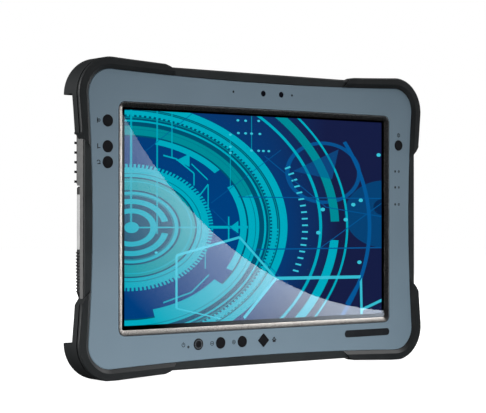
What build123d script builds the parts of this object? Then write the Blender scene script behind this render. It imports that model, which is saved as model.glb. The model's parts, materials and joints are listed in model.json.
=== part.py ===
from build123d import *
import os

# Rugged tablet used as a survey data collector, in millimetres.
#
# Working frame: x to the right and z up, both from the centre of the display opening, as seen by
# the person holding it. y is depth: 0 on the front panel's face, growing towards the back.
# place() moves each finished piece so that the tablet stands on z = 0, centred on x and y.

# ---------------------------------------------------------------- display stack
LCD_WIDTH = 217.0            # lit area of a 10.1 inch 16:10 display
LCD_HEIGHT = 135.6
LCD_SHIFT_X = 0.3            # the lit area sits a little off the opening's centre
LCD_SHIFT_Z = 0.7
BORDER = 2.0                 # black edge between the lit area and the trim
TRIM_WIDTH = 3.3             # sloping metal trim, seen from the front
TRIM_GAP = 0.35              # dark gap round the trim
TRIM_SET = 0.15              # the trim's outer edge lies this far below the panel's face
TRIM_WALL = 1.2
OPENING_RADIUS = 4.8
GLASS_FRONT = 1.85           # depth of the glass face
GLASS_THICK = 1.0
GLASS_GAP = 0.2
MASK_THICK = 0.15
LCD_THICK = 2.0
LCD_RIM = 2.8                # unlit edge of the display cell
CELL_RADIUS = 2.5
BACKLIGHT_THICK = 1.8
CHASSIS_GAP = 0.2
CHASSIS_THICK = 1.2
CHASSIS_MARGIN = 3.8         # how far the chassis plate reaches past the opening

# ---------------------------------------------------------------- front panel and side walls
PANEL_THICK = 2.0
PANEL_SIDE = 18.85           # panel beside the opening, at mid height
PANEL_TOP = 17.25            # panel above and below the opening, at mid width
PANEL_FLARE_SIDE = 4.5       # the panel's outline widens by this towards its corners
PANEL_FLARE_TOP = 3.5
PANEL_RADIUS = 16.0
PANEL_EDGE = 0.4             # bevel round the panel
PANEL_GAP = 0.15
RIM_SIDE = 6.2               # black rim outside the panel, at mid height
RIM_TOP = 6.3
RIM_DEPTH = 1.0
RIM_SETBACK = 0.4            # the rim stops this far inside the side wall
RIM_BEVEL = 0.6
LEDGE_WIDTH = 0.18 * PANEL_TOP    # shelf behind the panel's edge that the panel is bonded to
LEDGE_DEPTH = 3.4
SEAM = 0.4                   # groove between the front frame and the side frame
SHELL_SEAT = 0.04            # between the side frame, the port frame and the rear shell
BODY_RADIUS = 19.2
SIDE_DEPTH = 8.4             # depth of the straight side wall
BODY_DEPTH = 18.5            # depth of the flat back
WALL = 2.0
FIT_GAP = 0.2                # between fixed pieces that only sit beside each other

# ---------------------------------------------------------------- corner bumpers
BUMPER_CORNER_SIDE = 7.6     # sharp corner of the bumper outline, past the side wall's
BUMPER_CORNER_TOP = 5.5
BUMPER_BOW_SIDE = 6.8        # the outline bows in by this between two corners
BUMPER_BOW_TOP = 5.45
BUMPER_RADIUS = 23.7
LIP_PROUD = 1.8              # front lip, above the panel's face
LIP_SLOPE = 2.5              # width of the lip's inner slope
LIP_ROUND = 1.0
GROOVE_FRONT = 0.3
GROOVE_WIDTH = 1.1
GROOVE_DEPTH = 0.7
LEG_DEPTH = 6.6              # depth of a bumper leg along the side wall
LEG_ALONG_TOP = 59.2         # from the side wall's corner to where a top leg starts to slant
LEG_ALONG_SIDE = 43.5
LEG_STEP_TOP = 4.5           # length of the first, shallow part of the slanted end
LEG_STEP_SIDE = 4.5
LEG_SLANT = 5.5              # length of the second part, at 45 degrees
HOOK_ALONG_TOP = 30.0        # length of the part that wraps behind the corner
HOOK_ALONG_SIDE = 20.0
HOOK_PROUD = 1.1             # the hooks are the feet that the tablet lies on
HOOK_WIDTH = 8.5             # rubber behind the corner, from the side wall inwards
HOOK_ROUND = 4.0
FOOT_FLAT = 0.3              # flat worn into the lowest rubber, so that it stands
BUMPER_SEAT = 0.04           # between the rubber and the shell it grips

# ---------------------------------------------------------------- buttons and sensors
BUTTON_RADIUS = 3.75
BUTTON_FIT = 0.10            # radial running clearance in the panel
BUTTON_PROUD = 0.25
BUTTON_FLANGE = 0.9
BUTTON_FLANGE_THICK = 0.8
BUTTON_TRAVEL = 0.5
STOP_GAP = 0.3               # between a moving piece and what it stops against
SIDE_KEY_INSET = 7.85        # side buttons, from the opening's edge
FN_HEIGHT = 60.9
F1_HEIGHT = 44.9
F2_HEIGHT = 35.1
P_HEIGHT = 52.7
P_KEY_INSET = 8.95
BOTTOM_KEY_INSET = 0.438 * PANEL_TOP    # bottom buttons, from the opening's edge
POWER_X = -53.0
MINUS_X = -35.2
PLUS_X = -17.5
HOME_X = 0.3
HOME_SIDE = 0.3855 * PANEL_TOP    # the diamond is a square on its corner
RING_OUTER = 3.0
RING_INNER = 2.3
RING_THICK = 0.3
DOME_RADIUS = 2.5
DOME_HEIGHT = 0.7
KEY_BOARD_THICK = 1.0
KEY_BOARD_HALF = 5.2
SENSOR_INSET = 0.594 * PANEL_TOP    # sensor row, from the opening's top edge
CAMERA_X = 0.2
SENSOR_X = 15.5
MIC_X = 24.8
EYE_RADIUS = 2.0
EYE_HOUSING = 3.1
EYE_SET = 0.3
EYE_DEPTH = 5.5
MIC_RADIUS = 0.8
LED_INSET = 5.65
LED_HEIGHTS = (34.0, 22.6, 10.4)
LED_RADIUS = 0.9
POWER_LED_X = -61.0
PLATE_WIDTH = 42.0           # blank name plate, let into the panel
PLATE_HEIGHT = 5.0
PLATE_THICK = 0.4
PLATE_X = 93.0
PLATE_INSET = 6.7

# ---------------------------------------------------------------- electronics
BOARD_GAP = 1.4              # air between the chassis plate and the main board
BOARD_THICK = 1.2
BOARD_HALF_WIDTH = 102.0
BOARD_TOP = 73.0
BOARD_BOTTOM = -11.0
CHIP_COVER = 1.5
SPREADER_X = (-34, 34)       # metal plate over the processor, from side to side
SPREADER_Z = (2, 44)
STORAGE_X = (-20, 20)
STORAGE_Z = (50, 72)
RADIO_X = (60, 84)
RADIO_Z = (44, 68)
MODULE_THICK = 1.3

# ---------------------------------------------------------------- battery and its latches
BATTERY_WIDTH = 160.0
BATTERY_HEIGHT = 56.0
BATTERY_CENTRE_Z = -50.0
BATTERY_THICK = 6.4
BATTERY_GAP = 0.4
BATTERY_CORNER = 4.0
BAY_WALL = 1.6
CONTACT_COUNT = 6
CONTACT_PITCH = 5.0
CONTACT_WIDTH = 3.0
CONTACT_HEIGHT = 6.0
CONTACT_THICK = 0.3
LATCH_WIDTH = 11.0
LATCH_HEIGHT = 13.0
LATCH_THICK = 2.8
LATCH_TRAVEL = 5.0
LATCH_TONGUE = 3.0
LATCH_TONGUE_HEIGHT = 6.0
LATCH_FLOOR = 1.2
LATCH_RIBS = 4
LATCH_RIB_PITCH = 2.2
LATCH_RIB_CUT = 0.8

# ---------------------------------------------------------------- stylus
STYLUS_RADIUS = 3.2
STYLUS_INSET = 4.3           # stylus axis, inside the side wall
STYLUS_DEPTH = 9.3
STYLUS_TOP = 15.0
STYLUS_GRIP_TOP = -19.0
STYLUS_GRIP_BOTTOM = -46.0
STYLUS_BOTTOM = -52.0
STYLUS_RIB = 0.6
STYLUS_RIB_PITCH = 2.0
STYLUS_RIB_WIDTH = 1.0
STYLUS_TIP_RADIUS = 1.2
STYLUS_CAP = 5.0
STYLUS_GAP = 0.5
CHANNEL_WALL = 1.4

# ---------------------------------------------------------------- grips on the rear edges
GRIP_RIBS = 7
GRIP_PITCH = 6.0
GRIP_FIRST = 23.0            # height of the lowest rib
GRIP_RIB_WIDTH = 1.5
GRIP_RIB_HEIGHT = 2.2
GRIP_BASE = 0.6
GRIP_BREADTH = 6.0

# ---------------------------------------------------------------- port bay and its door
DOOR_THICK = 1.8
DOOR_FRONT = 2.2
DOOR_REAR = 8.0
DOOR_TOP = 22.0
DOOR_BOTTOM = -32.0
DOOR_PIN = 0.5
DOOR_PIN_FIT = 0.06
DOOR_PIN_END = 2.0           # each end of the pin goes this far into the shell
BAY_DEPTH = 6.6              # from the side wall to the connectors' faces
BAY_FRONT = 3.4
BAY_REAR = 7.9
BAY_INSET = 3.0              # the bay ends this far short of the door's ends
PORT_DEPTH = 12.0
PORT_TONGUE = 1.4            # contact tongue inside a connector
PORT_TONGUE_SET = 1.0        # from the connector's mouth to the tongue
PORT_TONGUE_SIDE = 1.2       # from the connector's end to the tongue
PORT_SHELL = 0.4
USB_WIDTH = 13.0
USB_HEIGHTS = (12.0, -5.0)
VIDEO_WIDTH = 11.0
VIDEO_Z = -20.5
PORT_HEIGHT = 4.4

# ---------------------------------------------------------------- back of the shell
MOUNT_PITCH = 75.0
MOUNT_CENTRE_Z = 22.0
MOUNT_HOLE = 2.05            # M4
INSERT_RADIUS = 3.0
INSERT_DEPTH = 5.0
INSERT_BOSS = 5.0
SCREW_X = 110.0
SCREW_TOP_X = 40.0
SCREW_SPREAD_Z = 74.0
SCREW_TOP_Z = 80.0
SCREW_SHANK = 1.25
SCREW_HEAD = 2.4
SCREW_HEAD_THICK = 1.5
SCREW_GAP = 0.1
SCREW_SET = 0.2
SCREW_BOSS = 3.2
REAR_EYE_X = -93.0
REAR_EYE_Z = 62.0
REAR_EYE_BEZEL = 6.5
REAR_EYE_LENS = 4.0
REAR_EYE_LENGTH = 6.0
FLASH_SPACING = 13.0
FLASH_RADIUS = 2.2
SPEAKER_X = 92.0
SPEAKER_Z = 30.0
SPEAKER_WIDTH = 26.0
SPEAKER_HEIGHT = 15.0
SPEAKER_THICK = 4.0
GRILLE_SLOTS = 5
GRILLE_PITCH = 2.6
GRILLE_SLOT = 1.3
GRILLE_LENGTH = 20.0
DOCK_WIDTH = 40.0
DOCK_THICK = 4.4
DOCK_SET = 0.4
DOCK_HEIGHT = 4.0
DOCK_PADS = 8
DOCK_PAD_PITCH = 4.4
DOCK_PAD = 2.4
DOCK_PAD_THICK = 0.3

# ---------------------------------------------------------------- sizes that follow
opening_w = LCD_WIDTH / 2 + BORDER + TRIM_WIDTH + TRIM_GAP      # half widths and half heights
opening_h = LCD_HEIGHT / 2 + BORDER + TRIM_WIDTH + TRIM_GAP
panel_w = opening_w + PANEL_SIDE
panel_h = opening_h + PANEL_TOP
body_w = panel_w + RIM_SIDE
body_h = panel_h + RIM_TOP
shell_front = RIM_DEPTH + SEAM
mask_front = GLASS_FRONT + GLASS_THICK
lcd_front = mask_front + MASK_THICK
backlight_front = lcd_front + LCD_THICK
chassis_front = backlight_front + BACKLIGHT_THICK + CHASSIS_GAP
chassis_rear = chassis_front + CHASSIS_THICK
board_front = chassis_rear + BOARD_GAP
board_rear = board_front + BOARD_THICK
back_inside = BODY_DEPTH - WALL
rear_chamfer = BODY_DEPTH - SIDE_DEPTH
hook_rear = BODY_DEPTH + HOOK_PROUD
battery_front = BODY_DEPTH - BATTERY_THICK
bay_floor = battery_front - BATTERY_GAP
flange_front = PANEL_THICK + STOP_GAP
dome_front = flange_front + BUTTON_FLANGE_THICK + BUTTON_TRAVEL + 0.1
key_board_front = dome_front + DOME_HEIGHT
side_key_x = opening_w + SIDE_KEY_INSET
bottom_key_z = -opening_h - BOTTOM_KEY_INSET
sensor_z = opening_h + SENSOR_INSET
stylus_x = -body_w + STYLUS_INSET
dock_front = LEDGE_DEPTH + FIT_GAP
dock_rear = dock_front + DOCK_THICK

nodes = {}


# ---------------------------------------------------------------- helpers
def slab(face, y_front, y_rear):
    """An outline drawn as seen from the front, given depth from y_front to y_rear."""
    return Plane.XZ.offset(-y_rear) * extrude(face, y_rear - y_front)


def block(x_range, y_range, z_range):
    """A box between two x, two y and two z values."""
    spans = [sorted(r) for r in (x_range, y_range, z_range)]
    centre = [(a + b) / 2 for a, b in spans]
    return Pos(*centre) * Box(*[b - a for a, b in spans])


def rod(x, z, radius, y_front, y_rear):
    """A round bar along y."""
    return Pos(x, (y_front + y_rear) / 2, z) * Rot(X=90) * Cylinder(radius, y_rear - y_front)


def post(x, y, radius, z_low, z_high):
    """A round bar along z."""
    return Pos(x, y, (z_low + z_high) / 2) * Cylinder(radius, z_high - z_low)


def bowed(mid_w, mid_h, corner_w, corner_h, radius):
    """A four-sided outline whose sides bow inwards from rounded corners."""
    corners = [(corner_w, corner_h), (-corner_w, corner_h), (-corner_w, -corner_h), (corner_w, -corner_h)]
    middles = [(0, mid_h), (-mid_w, 0), (0, -mid_h), (mid_w, 0)]
    sides = [ThreePointArc(a, m, b) for a, m, b in zip(corners, middles, corners[1:] + corners[:1])]
    face = make_face(sides)
    return fillet(face.vertices(), radius)


def panel_outline(grow=0.0):
    """The front panel's outline, made larger all round by grow."""
    return bowed(
        panel_w + grow,
        panel_h + grow,
        panel_w + PANEL_FLARE_SIDE + grow,
        panel_h + PANEL_FLARE_TOP + grow,
        PANEL_RADIUS + grow,
    )


def bumper_outline(grow=0.0):
    """The outline round all four corner bumpers."""
    corner_w = body_w + BUMPER_CORNER_SIDE + grow
    corner_h = body_h + BUMPER_CORNER_TOP + grow
    mid_w = corner_w - BUMPER_BOW_SIDE
    mid_h = corner_h - BUMPER_BOW_TOP
    return bowed(mid_w, mid_h, corner_w, corner_h, BUMPER_RADIUS + grow)


def body_outline(grow=0.0):
    """The side wall's outline."""
    return RectangleRounded(2 * (body_w + grow), 2 * (body_h + grow), BODY_RADIUS + grow)


def opening_outline(shrink=0.0):
    """The display opening, made smaller all round by shrink."""
    radius = max(OPENING_RADIUS - shrink, 0.8)
    return RectangleRounded(2 * (opening_w - shrink), 2 * (opening_h - shrink), radius)


def edges_at(shape, y):
    """The edges of a shape that lie flat at one depth."""
    return shape.edges().filter_by_position(Axis.Y, y - 1e-4, y + 1e-4)


def shell_volume(grow=0.0, y_front=None):
    """The rear shell's outer shape as one solid, with its back edges cut at 45 degrees."""
    start = shell_front if y_front is None else y_front
    solid = slab(body_outline(grow), start, BODY_DEPTH + grow)
    return chamfer(edges_at(solid, BODY_DEPTH + grow), rear_chamfer)


# ---------------------------------------------------------------- buttons: name, x, z
round_keys = {
    "fn_button": (-side_key_x, FN_HEIGHT),
    "f1_button": (-side_key_x, F1_HEIGHT),
    "f2_button": (-side_key_x, F2_HEIGHT),
    "power_button": (POWER_X, bottom_key_z),
    "minus_button": (MINUS_X, bottom_key_z),
    "plus_button": (PLUS_X, bottom_key_z),
    "p_button": (opening_w + P_KEY_INSET, P_HEIGHT),
}
diamond = Rot(Z=45) * RectangleRounded(HOME_SIDE, HOME_SIDE, 0.6)
diamond_hole = Rot(Z=45) * RectangleRounded(HOME_SIDE + 2 * BUTTON_FIT, HOME_SIDE + 2 * BUTTON_FIT, 0.6)
flange_side = HOME_SIDE + 2 * BUTTON_FLANGE
diamond_flange = Rot(Z=45) * RectangleRounded(flange_side, flange_side, 0.6)
led_x = opening_w + LED_INSET
led_places = [(led_x, z) for z in LED_HEIGHTS] + [(POWER_LED_X, bottom_key_z - 1.4)]
plate_z = -opening_h - PLATE_INSET


def front_panel():
    """The blue-grey front panel, with every hole through it."""
    plate = slab(panel_outline(), 0, PANEL_THICK)
    plate = chamfer(edges_at(plate, 0), PANEL_EDGE)
    plate -= slab(opening_outline(), -1, PANEL_THICK + 1)
    for x, z in round_keys.values():
        plate -= rod(x, z, BUTTON_RADIUS + BUTTON_FIT, -1, PANEL_THICK + 1)
    plate -= slab(Pos(HOME_X, bottom_key_z) * diamond_hole, -1, PANEL_THICK + 1)
    for x in (CAMERA_X, SENSOR_X):
        plate -= rod(x, sensor_z, EYE_RADIUS, -1, PANEL_THICK + 1)
    for x in (-MIC_X, MIC_X):
        plate -= rod(x, sensor_z, MIC_RADIUS, -1, PANEL_THICK + 1)
    for x, z in led_places:
        plate -= rod(x, z, LED_RADIUS, -1, PANEL_THICK + 1)
    plate -= slab(Pos(PLATE_X, plate_z) * name_plate_outline(), -1, PLATE_THICK)
    return plate


def name_plate_outline():
    return RectangleRounded(PLATE_WIDTH, PLATE_HEIGHT, PLATE_HEIGHT / 2 - 0.1)


def display_trim():
    """The cast trim that slopes from the panel down to the glass."""
    outer = opening_outline(TRIM_GAP)
    lip = opening_outline(TRIM_GAP + TRIM_WIDTH)
    pocket = opening_outline(TRIM_GAP + TRIM_WALL)
    glass_depth = GLASS_FRONT - 0.05
    trim = slab(outer, TRIM_SET, backlight_front)
    trim -= slab(lip, TRIM_SET - 1, backlight_front + 1)
    trim -= slab(pocket, glass_depth, backlight_front + 1)
    slope = loft(
        [
            Plane.XZ.offset(-TRIM_SET + 0.05) * opening_outline(TRIM_GAP + 0.5),
            Plane.XZ.offset(-glass_depth + 0.4) * lip,
        ],
        ruled=True,
    )
    return trim - slope


def display_stack():
    """Glass, printed mask, display cell, backlight and the chassis plate behind them."""
    pocket_w = opening_w - TRIM_GAP - TRIM_WALL - GLASS_GAP
    pocket_h = opening_h - TRIM_GAP - TRIM_WALL - GLASS_GAP
    sheet = RectangleRounded(2 * pocket_w, 2 * pocket_h, OPENING_RADIUS - TRIM_GAP - TRIM_WALL - GLASS_GAP)
    window = Pos(LCD_SHIFT_X, LCD_SHIFT_Z) * Rectangle(LCD_WIDTH, LCD_HEIGHT)
    cell_w = min(LCD_WIDTH + 2 * LCD_RIM, 2 * (pocket_w - LCD_SHIFT_X))
    cell_h = min(LCD_HEIGHT + 2 * LCD_RIM, 2 * (pocket_h - LCD_SHIFT_Z))
    cell = Pos(LCD_SHIFT_X, LCD_SHIFT_Z) * RectangleRounded(cell_w, cell_h, CELL_RADIUS)
    nodes["touch_glass"] = slab(sheet, GLASS_FRONT, mask_front)
    nodes["display_mask"] = slab(sheet - window, mask_front, lcd_front)
    nodes["display_cell"] = slab(cell, lcd_front, backlight_front)
    nodes["backlight"] = slab(cell, backlight_front, backlight_front + BACKLIGHT_THICK)
    plate = RectangleRounded(2 * (opening_w + CHASSIS_MARGIN), 2 * (opening_h + CHASSIS_MARGIN), 6)
    nodes["chassis_plate"] = slab(plate, chassis_front, chassis_rear)


def front_frame():
    """The black frame round the panel: a rim flush with it and a ledge behind its edge."""
    rim = slab(body_outline(-RIM_SETBACK), 0, RIM_DEPTH)
    rim = chamfer(edges_at(rim, 0), RIM_BEVEL)
    ring = rim + slab(body_outline(-WALL - FIT_GAP), RIM_DEPTH, LEDGE_DEPTH)
    ring -= slab(panel_outline(PANEL_GAP), -1, PANEL_THICK)
    ledge = RectangleRounded(
        2 * (panel_w - LEDGE_WIDTH), 2 * (panel_h - LEDGE_WIDTH), PANEL_RADIUS - LEDGE_WIDTH
    )
    ring -= slab(ledge, PANEL_THICK - 1, LEDGE_DEPTH + 1)
    bay = bay_block(FIT_GAP)
    return ring - bay


def bay_block(grow=0.0):
    """The solid round the port bay, which the bay and the door's seat are cut from."""
    return block(
        (body_w - BAY_DEPTH - BAY_WALL - grow, body_w + 1),
        (PANEL_THICK + FIT_GAP / 2 - grow, DOOR_REAR + BAY_WALL + grow),
        (bay_ends[0] - grow, bay_ends[1] + grow),
    )


def bay_strip(grow=0.0):
    """The stretch of side wall beside the port bay, which belongs to the port frame."""
    return block(
        (body_w - WALL - grow, body_w + 1),
        (shell_front, DOOR_REAR + BAY_WALL + grow),
        (bay_ends[0] - grow, bay_ends[1] + grow),
    )


bay_ends = (DOOR_BOTTOM - DOOR_PIN_END - BAY_WALL, DOOR_TOP + DOOR_PIN_END + BAY_WALL)
screw_places = [(sx * SCREW_X, z) for sx in (-1, 1) for z in (-SCREW_SPREAD_Z, 0, SCREW_SPREAD_Z)]
screw_places += [(sx * SCREW_TOP_X, SCREW_TOP_Z) for sx in (-1, 1)]
mount_places = [
    (sx * MOUNT_PITCH / 2, MOUNT_CENTRE_Z + sz * MOUNT_PITCH / 2) for sx in (-1, 1) for sz in (-1, 1)
]
battery_outline = Pos(0, BATTERY_CENTRE_Z) * RectangleRounded(BATTERY_WIDTH, BATTERY_HEIGHT, BATTERY_CORNER)
latch_inner = BATTERY_WIDTH / 2 + BATTERY_GAP + BAY_WALL      # x where a latch pocket starts
latch_pocket_width = LATCH_WIDTH + LATCH_TRAVEL + 2 * STOP_GAP
latch_floor = BODY_DEPTH - LATCH_THICK - STOP_GAP


def battery_bay(shell):
    """A walled bay for the battery, let into the back of the shell."""
    bay = Pos(0, BATTERY_CENTRE_Z) * RectangleRounded(
        BATTERY_WIDTH + 2 * BATTERY_GAP, BATTERY_HEIGHT + 2 * BATTERY_GAP, BATTERY_CORNER + BATTERY_GAP
    )
    wall = 2 * (BATTERY_GAP + BAY_WALL)
    outside = Pos(0, BATTERY_CENTRE_Z) * RectangleRounded(
        BATTERY_WIDTH + wall, BATTERY_HEIGHT + wall, BATTERY_CORNER + wall / 2
    )
    shell += slab(outside, bay_floor - BAY_WALL, back_inside)
    shell -= slab(bay, bay_floor, BODY_DEPTH + 1)
    return shell - connector_block(0)


def connector_block(shrink):
    width = CONTACT_COUNT * CONTACT_PITCH + 2
    return block(
        (-width / 2 + shrink, width / 2 - shrink),
        (bay_floor - BAY_WALL - 1, bay_floor + shrink),
        (BATTERY_CENTRE_Z - CONTACT_HEIGHT, BATTERY_CENTRE_Z + CONTACT_HEIGHT),
    )


def latch_pocket(shell, side):
    """The pocket that one battery latch slides in, with a slot for its tongue."""
    outer = latch_inner + latch_pocket_width
    half = LATCH_HEIGHT / 2 + STOP_GAP
    low = BATTERY_CENTRE_Z - half
    high = BATTERY_CENTRE_Z + half
    shell += block(
        (side * (latch_inner - 0.5), side * (outer + BAY_WALL)),
        (latch_floor - LATCH_FLOOR, back_inside),
        (low - BAY_WALL, high + BAY_WALL),
    )
    shell -= block((side * latch_inner, side * outer), (latch_floor, BODY_DEPTH + 1), (low, high))
    tongue_half = LATCH_TONGUE_HEIGHT / 2 + STOP_GAP
    shell -= block(
        (side * (latch_inner - BAY_WALL - 1), side * (latch_inner + 1)),
        (latch_floor, BODY_DEPTH - WALL / 2),
        (BATTERY_CENTRE_Z - tongue_half, BATTERY_CENTRE_Z + tongue_half),
    )
    return shell


def stylus_channel(shell):
    """An open channel along the left side, where the stylus lies."""
    room = STYLUS_RADIUS + STYLUS_RIB + STYLUS_GAP
    low = STYLUS_BOTTOM - STYLUS_GAP
    high = STYLUS_TOP + STYLUS_CAP + STYLUS_GAP
    solid = block(
        (-body_w + 0.5, stylus_x + room + CHANNEL_WALL),
        (LEDGE_DEPTH + FIT_GAP, STYLUS_DEPTH + room + CHANNEL_WALL),
        (low - CHANNEL_WALL, high + CHANNEL_WALL),
    )
    shell += solid & shell_volume(-0.1)
    shell -= post(stylus_x, STYLUS_DEPTH, room, low, high)
    return shell - stylus_opening()


def stylus_opening():
    """The channel's open side, through the side frame and the slanted edge."""
    room = STYLUS_RADIUS + STYLUS_RIB + STYLUS_GAP
    return block(
        (-body_w - 1, stylus_x),
        (STYLUS_DEPTH - room, STYLUS_DEPTH + room),
        (STYLUS_BOTTOM - STYLUS_GAP, STYLUS_TOP + STYLUS_CAP + STYLUS_GAP),
    )


def port_frame():
    """The moulded frame let into the right side: bay, door seat, pin holes and connector openings."""
    shell = (bay_block() + bay_strip()) & shell_volume()
    seat = (body_w - DOOR_THICK - FIT_GAP, body_w + 1)
    door_span = (DOOR_BOTTOM - STOP_GAP, DOOR_TOP + STOP_GAP)
    shell -= block(seat, (DOOR_FRONT - STOP_GAP, DOOR_REAR + STOP_GAP), door_span)
    bay_span = (DOOR_BOTTOM + BAY_INSET, DOOR_TOP - BAY_INSET)
    shell -= block((body_w - BAY_DEPTH, body_w + 1), (BAY_FRONT, BAY_REAR), bay_span)
    shell -= post(
        door_axis_x,
        door_axis_y,
        DOOR_PIN + DOOR_PIN_FIT,
        DOOR_BOTTOM - DOOR_PIN_END - 0.2,
        DOOR_TOP + DOOR_PIN_END + 0.2,
    )
    for z, width in [*usb_ports, video_port]:
        shell -= port_block(z, width, 0)
    return shell


door_axis_x = body_w - DOOR_THICK / 2
door_axis_y = DOOR_FRONT + DOOR_THICK / 2
port_mid = (BAY_FRONT + BAY_REAR) / 2
usb_ports = [(z, USB_WIDTH) for z in USB_HEIGHTS]
video_port = (VIDEO_Z, VIDEO_WIDTH)


def port_block(z, width, inset):
    """The outside of a connector, or its hollow when inset by the thickness of its shell."""
    half = PORT_HEIGHT / 2 - inset
    face = body_w - BAY_DEPTH
    return block(
        (face - PORT_DEPTH + inset, face + inset),
        (port_mid - half, port_mid + half),
        (z - width / 2 + inset, z + width / 2 - inset),
    )


def connector(z, width):
    """A connector: a thin metal shell with a tongue inside."""
    body = port_block(z, width, 0) - port_block(z, width, PORT_SHELL)
    face = body_w - BAY_DEPTH
    tongue = block(
        (face - PORT_DEPTH + PORT_SHELL, face - PORT_TONGUE_SET),
        (port_mid - 0.3 * PORT_TONGUE, port_mid + 0.7 * PORT_TONGUE),
        (z - width / 2 + PORT_TONGUE_SIDE, z + width / 2 - PORT_TONGUE_SIDE),
    )
    return body + tongue


def side_band(seat=0.0):
    """The space of the side frame: the side walls as far back as they are straight."""
    outside = slab(body_outline(1), -1, SIDE_DEPTH + seat)
    return outside - slab(body_outline(-WALL - seat), -2, SIDE_DEPTH + 1)


def side_frame():
    """The band round the tablet's sides, open at the port bay, the stylus and the dock."""
    band = shell_volume() & side_band()
    band -= stylus_opening()
    band -= bay_strip(SHELL_SEAT)
    return band - dock_opening()


def dock_opening():
    across = (-DOCK_WIDTH / 2, DOCK_WIDTH / 2)
    return block(across, (dock_front, dock_rear), (-body_h - 1, -body_h + DOCK_HEIGHT))


def rear_shell():
    """The rear shell: slanted edges, back, bays, bosses and every opening in it."""
    shell = shell_volume()
    shell -= chamfer(
        edges_at(slab(body_outline(-WALL), 0, back_inside), back_inside), rear_chamfer
    )
    shell = battery_bay(shell)
    for side in (-1, 1):
        shell = latch_pocket(shell, side)
    shell = stylus_channel(shell)
    shell -= bay_block(SHELL_SEAT)
    for x, z in screw_places:
        shell += rod(x, z, SCREW_BOSS, chassis_rear, back_inside)
        shell -= rod(x, z, SCREW_SHANK + SCREW_GAP / 2, chassis_rear - 1, BODY_DEPTH + 1)
        head = BODY_DEPTH - SCREW_SET - SCREW_HEAD_THICK
        shell -= rod(x, z, SCREW_HEAD + SCREW_GAP, head, BODY_DEPTH + 1)
    for x, z in mount_places:
        shell += rod(x, z, INSERT_BOSS, BODY_DEPTH - INSERT_DEPTH - 1, back_inside)
        shell -= rod(x, z, INSERT_RADIUS, BODY_DEPTH - INSERT_DEPTH, BODY_DEPTH + 1)
    shell -= rod(REAR_EYE_X, REAR_EYE_Z, REAR_EYE_BEZEL, 0, BODY_DEPTH + 1)
    shell -= rod(REAR_EYE_X + FLASH_SPACING, REAR_EYE_Z, FLASH_RADIUS, 0, BODY_DEPTH + 1)
    for side in (-1, 1):
        for i in range(GRILLE_SLOTS):
            z = SPEAKER_Z + (i - (GRILLE_SLOTS - 1) / 2) * GRILLE_PITCH
            slot = Pos(side * SPEAKER_X, z) * SlotOverall(GRILLE_LENGTH, GRILLE_SLOT)
            shell -= slab(slot, back_inside - 1, BODY_DEPTH + 1)
    return shell - dock_opening() - side_band(SHELL_SEAT)


def corner_bumper():
    """The bumper for the upper right corner; the other three are its mirror images."""
    base = slab(bumper_outline(), -LIP_PROUD, hook_rear)
    base = fillet(edges_at(base, hook_rear), HOOK_ROUND)
    base = fillet(edges_at(base, -LIP_PROUD), LIP_ROUND)
    base -= shell_volume(BUMPER_SEAT, y_front=0)
    slope = loft(
        [
            Plane.XZ * panel_outline(PANEL_GAP),
            Plane.XZ.offset(LIP_PROUD) * panel_outline(PANEL_GAP + LIP_SLOPE),
        ],
        ruled=True,
    )
    base -= slope
    groove = slab(bumper_outline(5), GROOVE_FRONT, GROOVE_FRONT + GROOVE_WIDTH)
    groove -= slab(bumper_outline(-GROOVE_DEPTH), GROOVE_FRONT, GROOVE_FRONT + GROOVE_WIDTH)
    base -= groove
    inside = RectangleRounded(
        2 * (body_w - HOOK_WIDTH), 2 * (body_h - HOOK_WIDTH), BODY_RADIUS - HOOK_WIDTH
    )
    base -= slab(inside, SIDE_DEPTH, hook_rear + 1)
    leg = slab(leg_region(), -LIP_PROUD - 1, LEG_DEPTH)
    hook = slab(hook_region(), LEG_DEPTH, hook_rear + 1)
    return base & (leg + hook)


def leg_region():
    """The part of the front view that the upper right bumper covers, with its slanted ends."""
    far = 20
    top_x = body_w - LEG_ALONG_TOP
    side_z = body_h - LEG_ALONG_SIDE
    outline = Polyline(
        (top_x + far / 2, body_h + far),
        (top_x, body_h + BUMPER_CORNER_TOP - BUMPER_BOW_TOP + 1.6),
        (top_x - LEG_STEP_TOP, body_h),
        (top_x - LEG_STEP_TOP - LEG_SLANT, body_h - LEG_SLANT),
        (top_x - LEG_STEP_TOP - LEG_SLANT, body_h - far),
        (body_w - far, side_z - LEG_STEP_SIDE - LEG_SLANT),
        (body_w - LEG_SLANT, side_z - LEG_STEP_SIDE - LEG_SLANT),
        (body_w, side_z - LEG_STEP_SIDE),
        (body_w + BUMPER_CORNER_SIDE - BUMPER_BOW_SIDE + 2.2, side_z),
        (body_w + far, side_z + far / 2),
        (body_w + far, body_h + far),
        close=True,
    )
    return make_face(outline)


def hook_region():
    """The part of the front view that the upper right bumper's hook covers."""
    far = 20
    span = (HOOK_ALONG_TOP + far, HOOK_ALONG_SIDE + far)
    centre = (body_w - HOOK_ALONG_TOP + span[0] / 2, body_h - HOOK_ALONG_SIDE + span[1] / 2)
    return Pos(*centre) * RectangleRounded(*span, 3.0)


def make_bumpers():
    """Four bumpers; the lower two have a flat ground into their lowest rubber."""
    upper_right = corner_bumper()
    low = upper_right.bounding_box().max.Z - FOOT_FLAT
    ground = block((0, 2 * body_w), (-LIP_PROUD - 1, hook_rear + 1), (low, low + 10))
    lower_right = mirror(upper_right - ground, about=Plane.XY)
    nodes["bumper_upper_right"] = upper_right
    nodes["bumper_upper_left"] = mirror(upper_right, about=Plane.YZ)
    nodes["bumper_lower_right"] = lower_right
    nodes["bumper_lower_left"] = mirror(lower_right, about=Plane.YZ)
    return -low


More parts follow.
